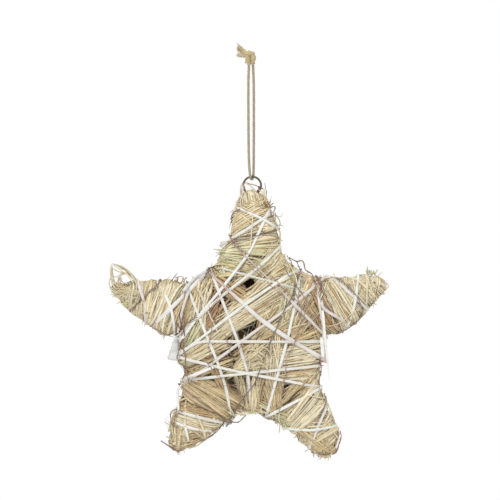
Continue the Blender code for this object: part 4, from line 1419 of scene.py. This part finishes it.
def add_short_ends(strands, guide, rng):
    """Short straws that lift off the skin all over, more of them on the star's edge."""
    vertices = guide.mesh.vertices
    for _ in range(SHORT_ENDS):
        vertex = vertices[rng.randrange(len(vertices))]
        normal = vertex.normal.copy()
        if abs(normal.y) > 0.55 and rng.random() < 0.88:
            continue
        way = normal.orthogonal().normalized()
        way = Matrix.Rotation(rng.uniform(0, 6.28), 3, normal) @ way
        reach = rng.uniform(0.005, 0.015)
        rise = rng.uniform(0.0010, 0.0034)
        curve = way.cross(normal) * rng.gauss(0, 0.002)
        line = [vertex.co + way * reach * step + normal * (rise * step * step - 0.0008)
                + curve * step * step for step in np.linspace(0, 1, 7)]
        shade = rng.choice((PALE, STRAW, STRAW, TAN, BROWNISH))
        strands.add(line, [normal] * 7, 0.0, STRAW_WIDTH * rng.uniform(0.3, 0.7), varied(shade, rng, 0.1),
                    twist=rng.gauss(0, 2))


# The ring

def make_ring(surface):
    """The wire ring."""
    turns = np.linspace(0, 2 * math.pi, 96, endpoint=False)
    reach = RING_DIAMETER / 2
    points = np.stack([RING_CENTRE.x + reach * np.cos(turns), 0 * turns,
                       RING_CENTRE.z + reach * np.sin(turns)], axis=1)
    mesh = tube_mesh(points, RING_WIRE * 0.55, 14, colour(100, 90, 80), closed=True)
    new_object("ring_wire", mesh, surface, "dark_wire", "hanging_ring")


# The loop of twine and its knot

def twine_route(points, spacing):
    """Points at even spacing along a smooth curve through these points, closer at the bend."""
    dense = curve_through(points, lambda length: 12)
    kept = [dense[0]]
    for point in dense[1:-1]:
        bend_spacing = spacing if abs(point.z + LOOP_DROP) > 3 * TWINE_DIAMETER else spacing / 5
        if (point - kept[-1]).length >= bend_spacing:
            kept.append(point)
    kept.append(dense[-1])
    return kept


def loop_points():
    """The twine's route: down in front of the ring, under its wire and up behind it."""
    wire = RING_WIRE / 2 + GAP + TWINE_DIAMETER / 2 + 0.0001
    side = LOOP_HALF_WIDTH
    bend = Vector((0.0006, 0.0, RING_TOP))
    round_wire = [bend + Vector((0.0013 * math.sin(turn), wire * math.sin(turn), -wire * math.cos(turn)))
                  for turn in np.radians((-90, -60, -30, 0, 30, 60, 90))]
    down = [Vector((-side * 0.75, -0.0010, -0.0006)), Vector((-side, -0.0012, -0.020)),
            Vector((-side, -0.0012, -0.055)), Vector((-side * 0.8, -0.0016, LOOP_DROP * -0.82)),
            Vector((-side * 0.45, -0.0024, LOOP_DROP * -0.95))]
    up = [Vector((side * 0.95, 0.0024, LOOP_DROP * -0.95)), Vector((side * 1.05, 0.0016, LOOP_DROP * -0.82)),
          Vector((side * 1.1, 0.0012, -0.055)), Vector((side * 1.05, 0.0012, -0.020)),
          Vector((side * 0.75, 0.0010, -0.0006))]
    return down + round_wire + up


def joined(meshes):
    """Several meshes as one."""
    shape = bmesh.new()
    for mesh in meshes:
        shape.from_mesh(mesh)
        bpy.data.meshes.remove(mesh)
    whole = bpy.data.meshes.new("whole")
    shape.to_mesh(whole)
    shape.free()
    return whole


def plies(points, diameter, lay, shade, rng):
    """Plies twisted round each other along the points, once round in each lay."""
    points = np.array(points)
    along = unit(np.gradient(points, axis=0))
    side = unit(np.cross(along, np.array([[0.0, 1.0, 0.15]])))
    up = np.cross(side, along)
    run = runs_along(points)
    ply_radius = diameter / (2 * (1 + 1 / math.sin(math.pi / PLY_COUNT)))
    made = []
    for ply in range(PLY_COUNT):
        turn = (2 * math.pi * (run / lay + ply / PLY_COUNT))[:, None]
        centre = points + (side * np.cos(turn) + up * np.sin(turn)) * (diameter / 2 - ply_radius)
        radii = ply_radius * 1.16 * (1 + np.array([rng.gauss(0, 0.05) for _ in run]))
        tint = np.array(varied(shade, rng, 0.06))
        made.append(tube_mesh(centre, radii, 8, tint, roughness=0.08, rng=rng))
    return joined(made)


def make_twine(surface):
    """The loop of twine."""
    rng = random.Random(5)
    centres = twine_route(loop_points(), 2.8 * TWINE_DIAMETER)
    fine = smooth_line(centres, LOOP_SPACING)
    mesh = plies(fine, TWINE_DIAMETER, LOOP_LAY, LOOP_TWINE, rng)
    twine = new_object("twine_loop", mesh, surface, "twine", "hanging_cord")
    length = float(np.linalg.norm(np.diff(fine, axis=0), axis=1).sum())
    return twine, [tuple(point) for point in fine], length


def in_knot(across, deep, up):
    """A place in the knot, in shares of its half width and half height from its middle."""
    return KNOT_MIDDLE + Vector((across * KNOT_WIDTH / 2, deep * KNOT_WIDTH / 2, up * KNOT_HEIGHT / 2))


def make_knot(surface):
    """The knot over the loop, with two thick frayed tails."""
    rng = random.Random(9)
    parts = []
    for places, diameter, lay, shade, uneven in KNOT_TURNS:
        line = smooth_line([in_knot(*place) for place in places], KNOT_SPACING)
        tint = varied(shade, rng, 0.02) if uneven else shade
        parts.append(plies(line, diameter, lay, tint, rng))
    return new_object("twine_knot", joined(parts), surface, "twine", "hanging_knot")


def make_frays(surface):
    """Loose jute fibres at the knot's tails and along the loop."""
    rng = random.Random(3)
    frays = Strands()
    root = in_knot(-1.9, 0.0, 1.35)
    out = Vector((-0.78, 0.0, 0.55))
    for _ in range(KNOT_FIBRES):
        start = root + Vector((rng.gauss(0, 0.0009), rng.gauss(0, 0.0009), rng.gauss(0, 0.0012)))
        lean = Vector((rng.gauss(0, 0.12), rng.gauss(0, 0.2), rng.gauss(0, 0.2)))
        length = rng.uniform(0.0025, 0.0048)
        steps = np.linspace(0, 1, 6)
        bend = Vector((rng.gauss(0, 0.10), rng.gauss(0, 0.14), rng.gauss(0, 0.16)))
        line = [start + (out + lean + bend * step) * length * step for step in steps]
        frays.add(line, [Vector((0, -1, 0))] * 6, 0.0, 0.00034, varied(colour(190, 168, 130), rng, 0.14))
    for point in loop_fray_spots(rng):
        way = Vector((rng.gauss(0, 1), rng.gauss(0, 1), rng.gauss(0, 1))).normalized()
        line = [point + way * step * 0.0024 + Vector((0, 0, step * step * 0.0008))
                for step in (0, 0.3, 0.65, 1)]
        frays.add(line, [Vector((0, -1, 0.1))] * 4, 0.0, 0.00020, varied(colour(168, 154, 130), rng, 0.12))
    return new_object("twine_frays", frays.build(), surface, "twine")


def loop_fray_spots(rng):
    """Places on the loop's two strands where a fibre stands off."""
    spots = []
    for _ in range(LOOP_FIBRES):
        side = rng.choice((-1, 1))
        spots.append(Vector((side * LOOP_HALF_WIDTH * 1.02, side * 0.0012, rng.uniform(-0.105, -0.002))))
    return spots


# The camera, the light and the floor

def make_camera():
    """The photograph's view: straight on, half a metre across at the star."""
    data = bpy.data.cameras.new("camera")
    data.lens = 180
    data.sensor_width = 36
    camera = bpy.data.objects.new("camera", data)
    camera.location = (-0.001, -2.5, -0.186)
    camera.rotation_euler = (math.radians(90), 0, 0)
    bpy.context.scene.collection.objects.link(camera)
    bpy.context.scene.camera = camera


def make_light():
    """Soft, even light with a little more from above the front."""
    world = bpy.data.worlds.new("studio")
    world.use_nodes = True
    backdrop = world.node_tree.nodes["Background"]
    backdrop.inputs["Color"].default_value = (1.0, 1.0, 1.0, 1.0)
    backdrop.inputs["Strength"].default_value = 1.0
    bpy.context.scene.world = world
    bpy.context.scene.view_settings.view_transform = "Standard"
    key = bpy.data.lights.new("key", "AREA")
    key.energy = 12.0
    key.size = 0.6
    lamp = bpy.data.objects.new("key", key)
    lamp.location = (-0.5, -1.3, 0.9)
    lamp.rotation_euler = (Vector((0, 0, -0.25)) - lamp.location).to_track_quat("-Z", "Y").to_euler()
    bpy.context.scene.collection.objects.link(lamp)


def make_floor():
    """The plain pale floor under the star."""
    mesh = bpy.data.meshes.new("floor")
    reach, height = 1.1, -0.62
    mesh.from_pydata([(-reach, -reach, height), (reach, -reach, height), (reach, reach, height),
                      (-reach, reach, height)], [], [(0, 1, 2, 3)])
    floor = bpy.data.objects.new("floor", mesh)
    bpy.context.scene.collection.objects.link(floor)
    mesh.materials.append(floor_surface())


def main():
    """All pieces, the windings last, because each lies on what is wound before it."""
    make_camera()
    make_light()
    make_floor()
    jute = jute_surface()
    twine, path, length = make_twine(jute)
    knot = make_knot(jute)
    frays = make_frays(jute)
    make_ring(wire_surface())
    straw_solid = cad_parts["straw_star"]
    guide = Guide(straw_solid)
    make_core(guide, painted_shade_straw_surface())
    straw = straw_surface()
    make_straw(guide, straw)
    solids = [triangles_of(straw_solid)]
    rng = random.Random(21)
    shaving, bark = strip_surface(), bark_surface()
    make_strips(solids, guide, shaving, rng)
    trees = make_twigs(solids, guide, bark, rng)
    make_loose_strips(trees, shaving, rng)
    make_loose_twigs(trees, bark, rng)
    make_loose_straws(trees, guide, straw, rng)
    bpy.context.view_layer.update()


main()
